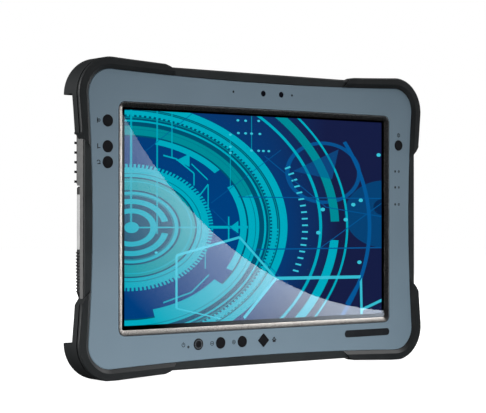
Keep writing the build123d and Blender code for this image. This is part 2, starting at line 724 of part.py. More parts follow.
def make_buttons():
    """Eight sprung buttons, each with a flange behind the panel."""
    flange_rear = flange_front + BUTTON_FLANGE_THICK
    for name, (x, z) in round_keys.items():
        cap = rod(x, z, BUTTON_RADIUS, -BUTTON_PROUD, flange_front)
        cap = chamfer(edges_at(cap, -BUTTON_PROUD), 0.2)
        cap += rod(x, z, BUTTON_RADIUS + BUTTON_FLANGE, flange_front, flange_rear)
        nodes[name] = cap
    x, z = round_keys["power_button"]
    ring = rod(x, z, RING_OUTER, -BUTTON_PROUD, -BUTTON_PROUD + RING_THICK)
    ring -= rod(x, z, RING_INNER, -BUTTON_PROUD - 1, RING_THICK)
    nodes["power_button"] -= ring
    nodes["power_ring"] = ring
    place = Pos(HOME_X, bottom_key_z)
    cap = slab(place * diamond, -BUTTON_PROUD, flange_front)
    nodes["home_button"] = cap + slab(place * diamond_flange, flange_front, flange_rear)


def key_board(places):
    """A narrow circuit board with a dome switch behind each button."""
    xs = [x for x, z in places]
    zs = [z for x, z in places]
    board = block(
        (min(xs) - KEY_BOARD_HALF, max(xs) + KEY_BOARD_HALF),
        (key_board_front, key_board_front + KEY_BOARD_THICK),
        (min(zs) - KEY_BOARD_HALF, max(zs) + KEY_BOARD_HALF),
    )
    for x, z in places:
        board += rod(x, z, DOME_RADIUS, dome_front, key_board_front)
    return board


def make_sensors():
    """Camera, light sensor, microphones, status lights and the blank name plate."""
    tubes = []
    for name, x in (("camera_lens", CAMERA_X), ("light_sensor", SENSOR_X)):
        tube = rod(x, sensor_z, EYE_HOUSING, PANEL_THICK, PANEL_THICK + EYE_DEPTH)
        tubes.append(tube - rod(x, sensor_z, EYE_RADIUS - 0.4, PANEL_THICK - 1, PANEL_THICK + EYE_DEPTH - 1))
        nodes[name] = rod(x, sensor_z, EYE_RADIUS, EYE_SET, PANEL_THICK)
    nodes["eye_housings"] = Compound(children=tubes)
    meshes = [rod(x, sensor_z, MIC_RADIUS, EYE_SET, PANEL_THICK) for x in (-MIC_X, MIC_X)]
    nodes["mic_meshes"] = Compound(children=meshes)
    lights = [rod(x, z, LED_RADIUS, 0.05, PANEL_THICK) for x, z in led_places]
    nodes["status_lights"] = Compound(children=lights[:3])
    nodes["power_light"] = lights[3]
    nodes["name_plate"] = slab(Pos(PLATE_X, plate_z) * name_plate_outline(), 0.05, PLATE_THICK)


def make_electronics():
    """Main board with its modules, speakers, rear camera and the key boards."""
    nodes["main_board"] = block(
        (-BOARD_HALF_WIDTH, BOARD_HALF_WIDTH), (board_front, board_rear), (BOARD_BOTTOM, BOARD_TOP)
    )
    module = (board_rear, board_rear + MODULE_THICK)
    nodes["heat_spreader"] = block(SPREADER_X, (board_rear, board_rear + CHIP_COVER), SPREADER_Z)
    nodes["storage_module"] = block(STORAGE_X, module, STORAGE_Z)
    nodes["radio_module"] = block(RADIO_X, module, RADIO_Z)
    speaker = block(
        (SPEAKER_X - SPEAKER_WIDTH / 2, SPEAKER_X + SPEAKER_WIDTH / 2),
        (back_inside - 0.1 - SPEAKER_THICK, back_inside - 0.1),
        (SPEAKER_Z - SPEAKER_HEIGHT / 2, SPEAKER_Z + SPEAKER_HEIGHT / 2),
    )
    nodes["speakers"] = Compound(children=[speaker, mirror(speaker, about=Plane.YZ)])
    barrel = rod(REAR_EYE_X, REAR_EYE_Z, REAR_EYE_BEZEL, BODY_DEPTH - REAR_EYE_LENGTH, BODY_DEPTH + 0.3)
    barrel -= rod(REAR_EYE_X, REAR_EYE_Z, REAR_EYE_LENS, BODY_DEPTH - 2, BODY_DEPTH + 1)
    nodes["rear_camera"] = barrel
    nodes["rear_camera_lens"] = rod(REAR_EYE_X, REAR_EYE_Z, REAR_EYE_LENS, BODY_DEPTH - 2, BODY_DEPTH - 0.3)
    flash_x = REAR_EYE_X + FLASH_SPACING
    nodes["flash_light"] = rod(flash_x, REAR_EYE_Z, FLASH_RADIUS, BODY_DEPTH - 3, BODY_DEPTH - 0.1)
    nodes["key_board_left"] = key_board([round_keys[k] for k in ("fn_button", "f1_button", "f2_button")])
    bottom = [round_keys[k] for k in ("power_button", "minus_button", "plus_button")]
    nodes["key_board_bottom"] = key_board(bottom + [(HOME_X, bottom_key_z)])
    nodes["key_board_right"] = key_board([round_keys["p_button"]])


def make_battery():
    """Battery pack with its contacts, the bay's connector and two latches."""
    pack = slab(battery_outline, battery_front, BODY_DEPTH)
    pack = chamfer(edges_at(pack, BODY_DEPTH), 0.5)
    pads = []
    for i in range(CONTACT_COUNT):
        x = (i - (CONTACT_COUNT - 1) / 2) * CONTACT_PITCH
        pads.append(
            block(
                (x - CONTACT_WIDTH / 2, x + CONTACT_WIDTH / 2),
                (battery_front, battery_front + CONTACT_THICK),
                (BATTERY_CENTRE_Z - CONTACT_HEIGHT / 2, BATTERY_CENTRE_Z + CONTACT_HEIGHT / 2),
            )
        )
    for pad in pads:
        pack -= pad
    nodes["battery_pack"] = pack
    nodes["battery_contacts"] = Compound(children=pads)
    nodes["battery_connector"] = connector_block(0) & slab(
        battery_outline, bay_floor - BAY_WALL, bay_floor + 1
    )
    for side, name in ((-1, "latch_left"), (1, "latch_right")):
        nodes[name] = latch(side)


def latch(side):
    """A thumb slider with a short tongue towards the battery."""
    inner = latch_inner + STOP_GAP
    front = latch_floor + STOP_GAP
    rear = front + LATCH_THICK
    slider = block(
        (side * inner, side * (inner + LATCH_WIDTH)),
        (front, rear - LATCH_RIB_CUT),
        (BATTERY_CENTRE_Z - LATCH_HEIGHT / 2, BATTERY_CENTRE_Z + LATCH_HEIGHT / 2),
    )
    for i in range(LATCH_RIBS):
        x = inner + LATCH_WIDTH / 2 + (i - (LATCH_RIBS - 1) / 2) * LATCH_RIB_PITCH
        slider += block(
            (side * (x - LATCH_RIB_PITCH / 4), side * (x + LATCH_RIB_PITCH / 4)),
            (rear - LATCH_RIB_CUT, rear),
            (BATTERY_CENTRE_Z - LATCH_HEIGHT / 2 + 1, BATTERY_CENTRE_Z + LATCH_HEIGHT / 2 - 1),
        )
    tongue_tip = latch_inner - BAY_WALL - BATTERY_GAP + STOP_GAP
    slider += block(
        (side * tongue_tip, side * (inner + 1)),
        (front, BODY_DEPTH - WALL / 2 - STOP_GAP),
        (BATTERY_CENTRE_Z - LATCH_TONGUE_HEIGHT / 2, BATTERY_CENTRE_Z + LATCH_TONGUE_HEIGHT / 2),
    )
    return slider


def make_stylus():
    """A stylus: pale barrel, black end cap, ribbed grip and a narrow tip."""
    nodes["stylus_barrel"] = post(stylus_x, STYLUS_DEPTH, STYLUS_RADIUS, STYLUS_GRIP_TOP, STYLUS_TOP)
    cap = post(stylus_x, STYLUS_DEPTH, STYLUS_RADIUS, STYLUS_TOP, STYLUS_TOP + STYLUS_CAP)
    nodes["stylus_cap"] = fillet(cap.edges().sort_by(Axis.Z)[-1], 1.5)
    grip = post(stylus_x, STYLUS_DEPTH, STYLUS_RADIUS, STYLUS_GRIP_BOTTOM, STYLUS_GRIP_TOP)
    count = int((STYLUS_GRIP_TOP - STYLUS_GRIP_BOTTOM) / STYLUS_RIB_PITCH)
    for i in range(count):
        z = STYLUS_GRIP_TOP - (i + 0.5) * STYLUS_RIB_PITCH
        low = z - STYLUS_RIB_WIDTH / 2
        grip += post(stylus_x, STYLUS_DEPTH, STYLUS_RADIUS + STYLUS_RIB, low, low + STYLUS_RIB_WIDTH)
    tip_length = STYLUS_GRIP_BOTTOM - STYLUS_BOTTOM
    middle = (STYLUS_GRIP_BOTTOM + STYLUS_BOTTOM) / 2
    grip += Pos(stylus_x, STYLUS_DEPTH, middle) * Cone(STYLUS_TIP_RADIUS, STYLUS_RADIUS, tip_length)
    nodes["stylus_grip"] = grip


def make_grips():
    """A ribbed rubber grip on the slanted rear edge of each side."""
    length = (GRIP_RIBS - 1) * GRIP_PITCH + 2 * GRIP_RIB_WIDTH
    strip = Pos(0, GRIP_BASE / 2, 0) * Box(GRIP_BREADTH, GRIP_BASE, length)
    for i in range(GRIP_RIBS):
        z = (i - (GRIP_RIBS - 1) / 2) * GRIP_PITCH
        strip += Pos(0, GRIP_RIB_HEIGHT / 2, z) * Box(GRIP_BREADTH - 1, GRIP_RIB_HEIGHT, GRIP_RIB_WIDTH)
    middle_z = GRIP_FIRST + (GRIP_RIBS - 1) * GRIP_PITCH / 2
    slide_in = rear_chamfer * 0.3
    right = Pos(body_w - slide_in, SIDE_DEPTH + slide_in, middle_z) * Rot(Z=-45) * strip
    nodes["grip_right"] = right
    nodes["grip_left"] = mirror(right, about=Plane.YZ)


def make_port_door():
    """Connectors in the side bay, the door over them and its hinge pin."""
    nodes["usb_ports"] = Compound(children=[connector(z, width) for z, width in usb_ports])
    nodes["video_port"] = connector(*video_port)
    door = block((body_w - DOOR_THICK, body_w), (door_axis_y, DOOR_REAR), (DOOR_BOTTOM, DOOR_TOP))
    door += post(door_axis_x, door_axis_y, DOOR_THICK / 2, DOOR_BOTTOM, DOOR_TOP)
    pin = post(door_axis_x, door_axis_y, DOOR_PIN, DOOR_BOTTOM - DOOR_PIN_END, DOOR_TOP + DOOR_PIN_END)
    nodes["port_door"] = door - pin
    nodes["door_pin"] = pin


def make_fasteners():
    """Shell screws and the four threaded inserts of the rear mount."""
    screws = []
    for x, z in screw_places:
        head = BODY_DEPTH - SCREW_SET - SCREW_HEAD_THICK
        screw = rod(x, z, SCREW_SHANK, chassis_rear, head + 0.1)
        screw += rod(x, z, SCREW_HEAD, head, head + SCREW_HEAD_THICK)
        screw -= slab(Pos(x, z) * RegularPolygon(1.0, 6), head + 0.6, head + SCREW_HEAD_THICK + 1)
        screws.append(screw)
    nodes["shell_screws"] = Compound(children=screws)
    inserts = []
    for x, z in mount_places:
        insert = rod(x, z, INSERT_RADIUS, BODY_DEPTH - INSERT_DEPTH, BODY_DEPTH)
        inserts.append(insert - rod(x, z, MOUNT_HOLE, BODY_DEPTH - INSERT_DEPTH - 1, BODY_DEPTH + 1))
    nodes["mount_inserts"] = Compound(children=inserts)


def make_dock():
    """Docking connector in the bottom edge, with its contact pads."""
    body = block(
        (-DOCK_WIDTH / 2, DOCK_WIDTH / 2),
        (dock_front, dock_rear),
        (-body_h + DOCK_SET, -body_h + DOCK_HEIGHT),
    )
    middle = (dock_front + dock_rear) / 2
    pads = []
    for i in range(DOCK_PADS):
        x = (i - (DOCK_PADS - 1) / 2) * DOCK_PAD_PITCH
        pads.append(
            block(
                (x - DOCK_PAD / 2, x + DOCK_PAD / 2),
                (middle - DOCK_PAD / 2, middle + DOCK_PAD / 2),
                (-body_h + DOCK_SET, -body_h + DOCK_SET + DOCK_PAD_THICK),
            )
        )
    for pad in pads:
        body -= pad
    nodes["dock_connector"] = body
    nodes["dock_pads"] = Compound(children=pads)


# ---------------------------------------------------------------- build and write
nodes["front_panel"] = front_panel()
nodes["front_frame"] = front_frame()
nodes["display_trim"] = display_trim()
display_stack()
nodes["side_frame"] = side_frame()
nodes["rear_shell"] = rear_shell()
nodes["port_frame"] = port_frame()
lowest = make_bumpers()
make_buttons()
make_sensors()
make_electronics()
make_battery()
make_stylus()
make_grips()
make_port_door()
make_fasteners()
make_dock()

place = Pos(0, (LIP_PROUD - hook_rear) / 2, -lowest)
os.makedirs("parts", exist_ok=True)
for name, shape in nodes.items():
    export_step(place * shape, f"parts/{name}.step")
print(len(nodes), "nodes; moved by", (LIP_PROUD - hook_rear) / 2, -lowest)
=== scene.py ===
# %% [markdown]
# # A rugged survey tablet
# This lesson dresses a tablet that crews carry as a data collector. The exact solids come from
# the CAD frame and are never moved. Each lesson cell says what a piece is on the real tablet,
# how it could be made, and why it is made this way here.

import json
import math

import bmesh
import bpy
from mathutils import Matrix, Vector

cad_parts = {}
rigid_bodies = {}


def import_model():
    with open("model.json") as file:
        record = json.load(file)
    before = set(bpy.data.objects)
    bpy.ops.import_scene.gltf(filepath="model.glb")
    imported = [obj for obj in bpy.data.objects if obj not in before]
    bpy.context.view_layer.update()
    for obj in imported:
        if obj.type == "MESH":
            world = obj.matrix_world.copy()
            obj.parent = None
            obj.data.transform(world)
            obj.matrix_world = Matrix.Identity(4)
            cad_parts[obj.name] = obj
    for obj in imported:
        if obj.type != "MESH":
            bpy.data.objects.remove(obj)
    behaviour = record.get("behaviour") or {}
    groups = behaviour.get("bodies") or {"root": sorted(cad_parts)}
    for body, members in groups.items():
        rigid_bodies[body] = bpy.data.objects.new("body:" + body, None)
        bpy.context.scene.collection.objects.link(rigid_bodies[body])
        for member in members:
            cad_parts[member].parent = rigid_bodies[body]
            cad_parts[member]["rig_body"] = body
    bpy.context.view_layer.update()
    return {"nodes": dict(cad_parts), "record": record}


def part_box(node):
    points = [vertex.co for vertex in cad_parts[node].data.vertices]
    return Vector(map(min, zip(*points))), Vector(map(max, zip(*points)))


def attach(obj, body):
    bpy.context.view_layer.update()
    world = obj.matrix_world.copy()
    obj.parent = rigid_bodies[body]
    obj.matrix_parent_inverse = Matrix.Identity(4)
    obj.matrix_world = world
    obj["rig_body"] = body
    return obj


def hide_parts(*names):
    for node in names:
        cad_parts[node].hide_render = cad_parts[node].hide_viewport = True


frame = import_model()
cad = frame["nodes"]
slot_of = {row["node"]: row["material_slot"] for row in frame["record"]["subparts"]}
MM = 0.001
SAME_POINT = 0.002 * MM

# %% [markdown]
# ## Where things are
# Places and overall sizes are read from the frame, and fine details are typed in. The touch
# glass is centred in the display opening, so its middle gives the centre of the front, and the
# panel's lowest y gives the face that the keys and printed signs belong to.

# %% Measure the front
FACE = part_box("front_panel")[0].y
glass_low, glass_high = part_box("touch_glass")
CENTRE_X = (glass_low.x + glass_high.x) / 2
CENTRE_Z = (glass_low.z + glass_high.z) / 2


def middle(node):
    """The middle of a CAD node's box."""
    low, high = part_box(node)
    return (low + high) / 2


def islands(node):
    """The box of every loose piece of a CAD node, from left to right."""
    mesh = bmesh.new()
    mesh.from_mesh(cad[node].data)
    bmesh.ops.remove_doubles(mesh, verts=mesh.verts, dist=SAME_POINT)
    left = set(mesh.verts)
    boxes = []
    while left:
        stack = [left.pop()]
        found = []
        while stack:
            corner = stack.pop()
            found.append(corner.co.copy())
            for edge in corner.link_edges:
                other = edge.other_vert(corner)
                if other in left:
                    left.remove(other)
                    stack.append(other)
        low = Vector([min(c[i] for c in found) for i in range(3)])
        high = Vector([max(c[i] for c in found) for i in range(3)])
        boxes.append((low, high))
    mesh.free()
    return sorted(boxes, key=lambda b: (round(b[0].x, 4), round(b[0].z, 4)))


print("front face at y =", round(FACE, 5), "centre height", round(CENTRE_Z, 5))

# %% [markdown]
# ## Building node trees
# Materials and Geometry Nodes are both trees. One helper adds a node and fills its inputs: an
# output socket is wired, anything else is typed in. It keeps the later cells short.


# %% A node helper
def node(tree, kind, inputs=None, **settings):
    """Adds a node. inputs maps socket names or numbers to values or to output sockets."""
    made = tree.nodes.new(kind)
    for key, value in settings.items():
        setattr(made, key, value)
    for key, value in (inputs or {}).items():
        if isinstance(value, bpy.types.NodeSocket):
            tree.links.new(value, made.inputs[key])
        else:
            made.inputs[key].default_value = value
    return made


def tone(red, green, blue):
    """Turns screen values from 0 to 255 into the linear colour that Blender uses."""
    bright = [value / 255 for value in (red, green, blue)]
    linear = [((v + 0.055) / 1.055) ** 2.4 if v > 10 / 255 else v / 12.92 for v in bright]
    return (*linear, 1.0)


# %% [markdown]
# ## One recipe for moulded and painted finishes
# A finish is a Principled shader whose colour drifts between two tones, whose gloss varies a
# little, and whose surface has a fine bump. Noise in Object coordinates gives all three, so the
# pattern has the same size on every piece. Numbers that are the same everywhere are set on the
# shader itself.

# %% The finish recipe
finishes = {}


def finish(slot, dark, light, patch, gloss, grain, height, metal=0.0, **extra):
    """patch, grain and bump height are in millimetres, and gloss is the roughness range."""
    material = bpy.data.materials.new(slot)
    material.use_nodes = True
    tree = material.node_tree
    shader = tree.nodes["Principled BSDF"]
    place = node(tree, "ShaderNodeTexCoord").outputs["Object"]
    wide = {"Vector": place, "Scale": 1000 / patch, "Detail": 3.0}
    drift = node(tree, "ShaderNodeTexNoise", wide).outputs["Fac"]
    ramp = node(tree, "ShaderNodeValToRGB", {"Fac": drift})
    for stop, position, colour in zip(ramp.color_ramp.elements, (0.35, 0.65), (dark, light)):
        stop.position = position
        stop.color = colour
    tree.links.new(ramp.outputs["Color"], shader.inputs["Base Color"])
    close = {"Vector": place, "Scale": 1000 / grain, "Detail": 2.0}
    fine = node(tree, "ShaderNodeTexNoise", close).outputs["Fac"]
    gloss_range = {"Value": fine, "To Min": gloss[0], "To Max": gloss[1]}
    rough = node(tree, "ShaderNodeMapRange", gloss_range)
    tree.links.new(rough.outputs["Result"], shader.inputs["Roughness"])
    bumps = {"Height": fine, "Distance": height * MM, "Strength": 1.0}
    bump = node(tree, "ShaderNodeBump", bumps)
    tree.links.new(bump.outputs["Normal"], shader.inputs["Normal"])
    shader.inputs["Metallic"].default_value = metal
    for name, value in extra.items():
        shader.inputs[name.replace("_", " ")].default_value = value
    finishes[slot] = material


print("finish recipe ready")

# %% [markdown]
# ## Paint, rubber and mouldings
# The front panel has a smooth satin blue-grey paint. The corner bumpers are soft black rubber
# with a fine grain, and the frame behind them is a harder black moulding. The side frame and the
# back are grey mouldings with a spark-eroded texture, which is coarser and scatters more light.
# Each line gives the two tones, the size of the patches between them, the range of roughness,
# the size of the grain and the height of the bumps.

# %% Paint, rubber and mouldings
finish(
    "panel_paint", tone(112, 131, 144), tone(116, 135, 148), 60, (0.42, 0.48), 0.5, 0.004,
    Specular_IOR_Level=0.35,
)
finish(
    "frame_black", tone(36, 39, 40), tone(42, 45, 46), 20, (0.48, 0.56), 0.4, 0.01,
    Specular_IOR_Level=0.35,
)
finish(
    "bumper_rubber", tone(28, 30, 31), tone(35, 37, 38), 25, (0.46, 0.56), 0.45, 0.015,
    Specular_IOR_Level=0.45,
)
finish("shell_grey", tone(101, 101, 101), tone(108, 108, 107), 2.5, (0.45, 0.62), 0.55, 0.03)
finish(
    "grip_rubber", tone(14, 14, 15), tone(20, 20, 21), 8, (0.50, 0.62), 0.4, 0.012,
    Specular_IOR_Level=0.2,
)
finish("door_rubber", tone(24, 24, 25), tone(32, 32, 33), 12, (0.55, 0.66), 0.4, 0.012)
finish(
    "key_rubber", tone(17, 17, 20), tone(22, 22, 25), 6, (0.50, 0.58), 0.3, 0.006,
    Specular_IOR_Level=0.3,
)
finish("battery_black", tone(32, 32, 33), tone(36, 36, 37), 2.5, (0.48, 0.62), 0.55, 0.02)
finish("latch_black", tone(22, 22, 23), tone(30, 30, 31), 6, (0.40, 0.52), 0.4, 0.01)
finish("dock_black", tone(18, 18, 19), tone(24, 24, 25), 6, (0.38, 0.50), 0.4, 0.008)
finish(
    "stylus_black", tone(14, 14, 15), tone(20, 20, 21), 6, (0.45, 0.56), 0.35, 0.008,
    Specular_IOR_Level=0.4,
)
finish("stylus_pale", tone(178, 178, 178), tone(192, 192, 191), 14, (0.30, 0.38), 0.4, 0.004)
finish("mask_black", tone(7, 7, 9), tone(10, 10, 12), 20, (0.30, 0.36), 0.6, 0.002)
finish("mesh_black", tone(14, 14, 15), tone(26, 26, 27), 0.6, (0.55, 0.75), 0.25, 0.04)
finish(
    "plate_dark", tone(26, 28, 31), tone(32, 34, 37), 8, (0.34, 0.42), 0.3, 0.006,
    Specular_IOR_Level=0.3,
)
print("mouldings:", len(finishes))

# %% [markdown]
# ## Metals, boards and lenses
# The display trim is a cast frame with a coarse silvery grain. Screws are black oxide, inserts
# are machined brass, contacts are gold plated. The circuit boards are green lacquer, and the
# small lenses are smooth dark glass under a clear coat.

# %% Metals, boards and lenses
finish(
    "trim_cast", tone(142, 138, 134), tone(188, 184, 180), 0.8, (0.32, 0.44), 0.35, 0.04,
    metal=1.0,
)
finish(
    "chassis_metal", tone(160, 162, 164), tone(180, 182, 184), 12, (0.32, 0.46), 0.6, 0.01,
    metal=1.0,
)
finish(
    "module_metal", tone(170, 172, 174), tone(188, 190, 192), 9, (0.26, 0.40), 0.5, 0.006,
    metal=1.0,
)
finish(
    "port_metal", tone(188, 186, 182), tone(205, 203, 199), 5, (0.20, 0.32), 0.4, 0.004,
    metal=1.0,
)
finish("screw_black", tone(44, 44, 46), tone(60, 60, 62), 2, (0.32, 0.46), 0.25, 0.006, metal=0.9)
finish(
    "insert_brass", tone(196, 160, 92), tone(214, 178, 108), 2, (0.24, 0.38), 0.25, 0.006,
    metal=1.0,
)
finish(
    "contact_gold", tone(214, 176, 96), tone(228, 192, 116), 2, (0.20, 0.30), 0.2, 0.003,
    metal=1.0,
)
finish(
    "circuit_board", tone(14, 62, 40), tone(24, 84, 56), 5, (0.30, 0.44), 0.8, 0.01,
    Coat_Weight=0.4,
)
finish(
    "lens_dark", tone(8, 9, 14), tone(16, 18, 30), 1.5, (0.05, 0.10), 1.0, 0.001,
    Coat_Weight=1.0,
)
finish(
    "light_pipe", tone(52, 58, 62), tone(72, 78, 82), 1.0, (0.12, 0.20), 0.5, 0.002,
    Coat_Weight=0.8,
)
finish(
    "ring_light", tone(66, 70, 74), tone(84, 88, 92), 1.5, (0.22, 0.32), 0.4, 0.002,
    Coat_Weight=0.5,
)
print("all but the glass and the picture:", len(finishes))

# %% [markdown]
# ## Cover glass
# The touch glass is a clear sheet over the display. Full transmission with the index of glass
# lets the lit picture through and keeps the reflection that real glass has, which grows towards
# glancing angles. A faint smear in the gloss keeps it from looking like empty space.

# %% Cover glass
glass = bpy.data.materials.new("cover_glass")
glass.use_nodes = True
glass_shader = glass.node_tree.nodes["Principled BSDF"]
glass_shader.inputs["Transmission Weight"].default_value = 1.0
glass_shader.inputs["IOR"].default_value = 1.5
film = {
    "Vector": node(glass.node_tree, "ShaderNodeTexCoord").outputs["Object"],
    "Scale": 14.0,
    "Detail": 2.0,
}
smear = node(glass.node_tree, "ShaderNodeTexNoise", film).outputs["Fac"]
smear_range = node(glass.node_tree, "ShaderNodeMapRange", {"Value": smear, "To Max": 0.02})
glass.node_tree.links.new(smear_range.outputs["Result"], glass_shader.inputs["Roughness"])
finishes["cover_glass"] = glass
print("cover glass ready")

# %% [markdown]
# ## The lit picture
# The display shows a blue chart of concentric rings, which are wider than they are tall. A
# picture file could be stretched over the cell, but the pattern is written here as arithmetic on
# the surface's own coordinates, so it stays sharp at any size. A small class lets a number that
# varies over the surface be used in ordinary sums, each of which becomes a Math node.


# %% Arithmetic on a surface
class Field:
    """A number that varies over a surface."""

    def __init__(self, tree, socket):
        self.tree = tree
        self.socket = socket

    def do(self, operation, *others):
        made = node(self.tree, "ShaderNodeMath", operation=operation)
        for slot, value in enumerate((self, *others)):
            if isinstance(value, Field):
                self.tree.links.new(value.socket, made.inputs[slot])
            else:
                made.inputs[slot].default_value = value
        return Field(self.tree, made.outputs[0])

    def __add__(self, other):
        return self.do("ADD", other)

    def __sub__(self, other):
        return self.do("SUBTRACT", other)

    def __mul__(self, other):
        return self.do("MULTIPLY", other)

    def above(self, limit):
        return self.do("GREATER_THAN", limit)

    def below(self, limit):
        return self.do("LESS_THAN", limit)

    def between(self, low, high):
        return self.above(low) * self.below(high)

    def near(self, value, reach):
        return (self - value).do("ABSOLUTE").below(reach)

    def kept_within(self, most):
        """Cut off below nought and above most, for soft ramps."""
        return self.do("MINIMUM", most).do("MAXIMUM", 0.0)


# %% The picture's canvas
picture = bpy.data.materials.new("display_lit")
picture.use_nodes = True
art = picture.node_tree
# The rings' centre is near the left edge of the cell, and SQUASH is their height over their width.
cell_middle = middle("display_cell")
RING_X = cell_middle.x / MM - 103.1
RING_Z = cell_middle.z / MM - 6.2
SQUASH = 0.63
xyz = node(art, "ShaderNodeSeparateXYZ", {0: node(art, "ShaderNodeTexCoord").outputs["Object"]})
across = Field(art, xyz.outputs["X"]) * 1000.0 - RING_X
up = Field(art, xyz.outputs["Z"]) * 1000.0 - RING_Z
tall = up * (1 / SQUASH)
radius = (across * across + tall * tall).do("SQRT")
turn = tall.do("ARCTAN2", across) * (180 / math.pi)
canvas = node(art, "ShaderNodeRGB")
canvas.outputs[0].default_value = tone(24, 32, 72)
layers = [canvas.outputs[0]]


def lay(colour, mask, strength=1.0):
    """Paints a colour over what is there, where the mask is one."""
    mix = node(art, "ShaderNodeMix", data_type="RGBA")
    art.links.new((mask * strength).socket, mix.inputs[0])
    art.links.new(layers[-1], mix.inputs[6])
    mix.inputs[7].default_value = colour
    layers.append(mix.outputs[2])


print("canvas centred on the rings at", round(RING_X, 2), round(RING_Z, 2), "mm")

# %% [markdown]
# The ground runs from blue near the rings to navy on the right, so the first two layers are soft
# ramps rather than hard masks. Two more sets of rings are partly seen further right. Then come
# the main rings, each with its inner and outer size in millimetres and its colour, and with the
# arc that it covers in degrees if it doesn't go all the way round. Later ones cover earlier ones.

# %% Ground and rings
NAVY, BLUE = tone(9, 34, 74), tone(0, 66, 132)
TEAL, CYAN, PALE = tone(0, 146, 158), tone(0, 178, 200), tone(60, 206, 230)
FAINT, DEEP, SEA = tone(6, 92, 158), tone(0, 84, 116), tone(0, 128, 150)
lay(BLUE, (radius * -0.016 + 2.75).kept_within(1.0))
haze = (across * -0.02 + 3.2).kept_within(1.0)
lay(tone(8, 60, 120), (up * 0.012 - 0.2).kept_within(0.5) * haze)


def oval(x, z):
    """Distance from a point of the picture, with the rings' squashed height."""
    rise = (up - z) * (1 / SQUASH)
    return ((across - x).do("POWER", 2.0) + rise.do("POWER", 2.0)).do("SQRT")


second = oval(158.0, 37.4)
third = oval(215.0, 9.0)
lay(tone(4, 74, 128), third.below(38.0), 0.85)
lay(NAVY, oval(213.0, 14.0).between(-1.0, 9.0), 0.8)
lay(FAINT, second.between(30.5, 34.2), 0.85)
rings = [
    (198.5, 202, FAINT, -40, 28),
    (178.3, 180.3, CYAN),
    (164.3, 172, TEAL, 2, 90),
    (164.3, 172, CYAN, -60, -5),
    (153.8, 156.4, CYAN),
    (107.4, 125.7, DEEP),
    (119.3, 125.7, CYAN),
    (112.6, 116.8, CYAN),
    (117.6, 118.4, TEAL),
    (109.4, 110.2, TEAL),
    (101.5, 105.7, DEEP),
    (105.7, 107.5, CYAN),
    (92.5, 101.5, TEAL, 20, 110),
    (92.5, 101.5, CYAN, -110, 20),
    (91, 92.5, DEEP),
    (98.2, 98.8, SEA),
    (85.5, 91, CYAN, 41, 78),
    (85.5, 91, CYAN, -30, 29),
    (84, 92.5, CYAN, -79, -40),
    (0, 60, CYAN),
    (37.5, 49, tone(0, 160, 172)),
    (49, 50.4, DEEP),
    (53.6, 54.4, SEA),
    (45.5, 46.6, CYAN),
    (35.8, 37.5, DEEP),
    (31.5, 33.0, SEA),
    (28.5, 31.5, DEEP),
    (23, 28, CYAN),
    (19, 23.5, DEEP),
    (22, 31.5, DEEP, -13, 13),
    (5.5, 14.2, DEEP),
]
for inner, outer, colour, *arc in rings:
    mask = radius.between(inner, outer) if inner else radius.below(outer)
    if arc:
        mask = mask * turn.between(*arc)
    lay(colour, mask)
print("rings:", len(rings))

# %% [markdown]
# Gear teeth and scale marks come from a sine of the angle. The straight lines are bands in a
# turned coordinate, kept to their length along it, and the dots are distances to a point. The
# lit cell gives out its own light, and its surface is dull because the glass is what shines.

# %% Teeth and scales
GEAR_TEETH, FRINGE_TEETH, SCALE_MARKS = 124, 190, 124


def marks(count, level):
    """Evenly spaced marks round a ring, narrower as the level of the sine wave rises."""
    return (turn * (count * math.pi / 180)).do("SINE").above(level)


teeth = marks(GEAR_TEETH, -0.2)
lay(CYAN, radius.between(59.5, 63.4) * teeth)
fringe = marks(FRINGE_TEETH, 0.0)
lay(CYAN, radius.between(110.8, 112.8) * fringe)
lay(CYAN, radius.between(116.6, 118.0) * fringe * turn.below(0.0))
scale = marks(SCALE_MARKS, 0.72)
lay(PALE, radius.between(138.5, 143.7) * scale * turn.between(-22.0, 29.0))
print("teeth round the gear:", GEAR_TEETH)


# %% Lines and dots


def line(x0, z0, x1, z1, width, colour, strength=1.0):
    """A stroke between two points of the picture, in millimetres from the rings' centre."""
    length = math.hypot(x1 - x0, z1 - z0)
    ux, uz = (x1 - x0) / length, (z1 - z0) / length
    along = across * ux + up * uz
    aside = across * uz - up * ux
    start = x0 * ux + z0 * uz
    mask = aside.near(x0 * uz - z0 * ux, width / 2) * along.between(start, start + length)
    lay(colour, mask, strength)


def triangle(a, b, c, colour, strength=1.0):
    """A filled triangle, its corners given clockwise."""
    inside = radius.above(-1.0)
    for (x0, z0), (x1, z1) in ((a, b), (b, c), (c, a)):
        inside = inside * ((across - x0) * (z1 - z0) - (up - z0) * (x1 - x0)).above(0.0)
    lay(colour, inside, strength)


def trace(points, width, colour, strength=1.0):
    """Strokes from each point to the next."""
    for (x0, z0), (x1, z1) in zip(points, points[1:]):
        line(x0, z0, x1, z1, width, colour, strength)


line(-0.4, 0, -0.4, 90, 1.6, CYAN, 0.8)
line(19.3, -4, 19.3, 90, 1.3, CYAN, 0.8)
line(30.7, 45, 30.7, 90, 1.1, CYAN, 0.8)
line(77.4, 26, 77.4, 62, 0.7, CYAN, 0.7)
line(95, 51, 95, 80, 0.7, CYAN, 0.6)
line(0, 0, 62, 0, 1.0, CYAN, 0.9)
line(62, 0, 92, 0, 1.8, CYAN)
line(76, -8, 76, 7, 1.2, CYAN)
triangle((77, 0), (84, 4.2), (84, -4.2), CYAN)
triangle((34, 43), (44.5, 47.5), (44.5, 39), CYAN)
triangle((130.5, 38), (171.5, 54), (165.5, 33), FAINT, 0.55)
line(84, 20, 216, 20, 0.7, FAINT, 0.9)
line(98.6, -14.9, 216, -14.9, 0.9, FAINT, 0.9)
trace([(106, 47.6), (160, 13.6), (213, 7)], 0.6, FAINT, 0.9)
line(154, -15, 216, 19, 0.6, FAINT)
line(10, 48, 50, 76, 0.5, FAINT, 0.8)
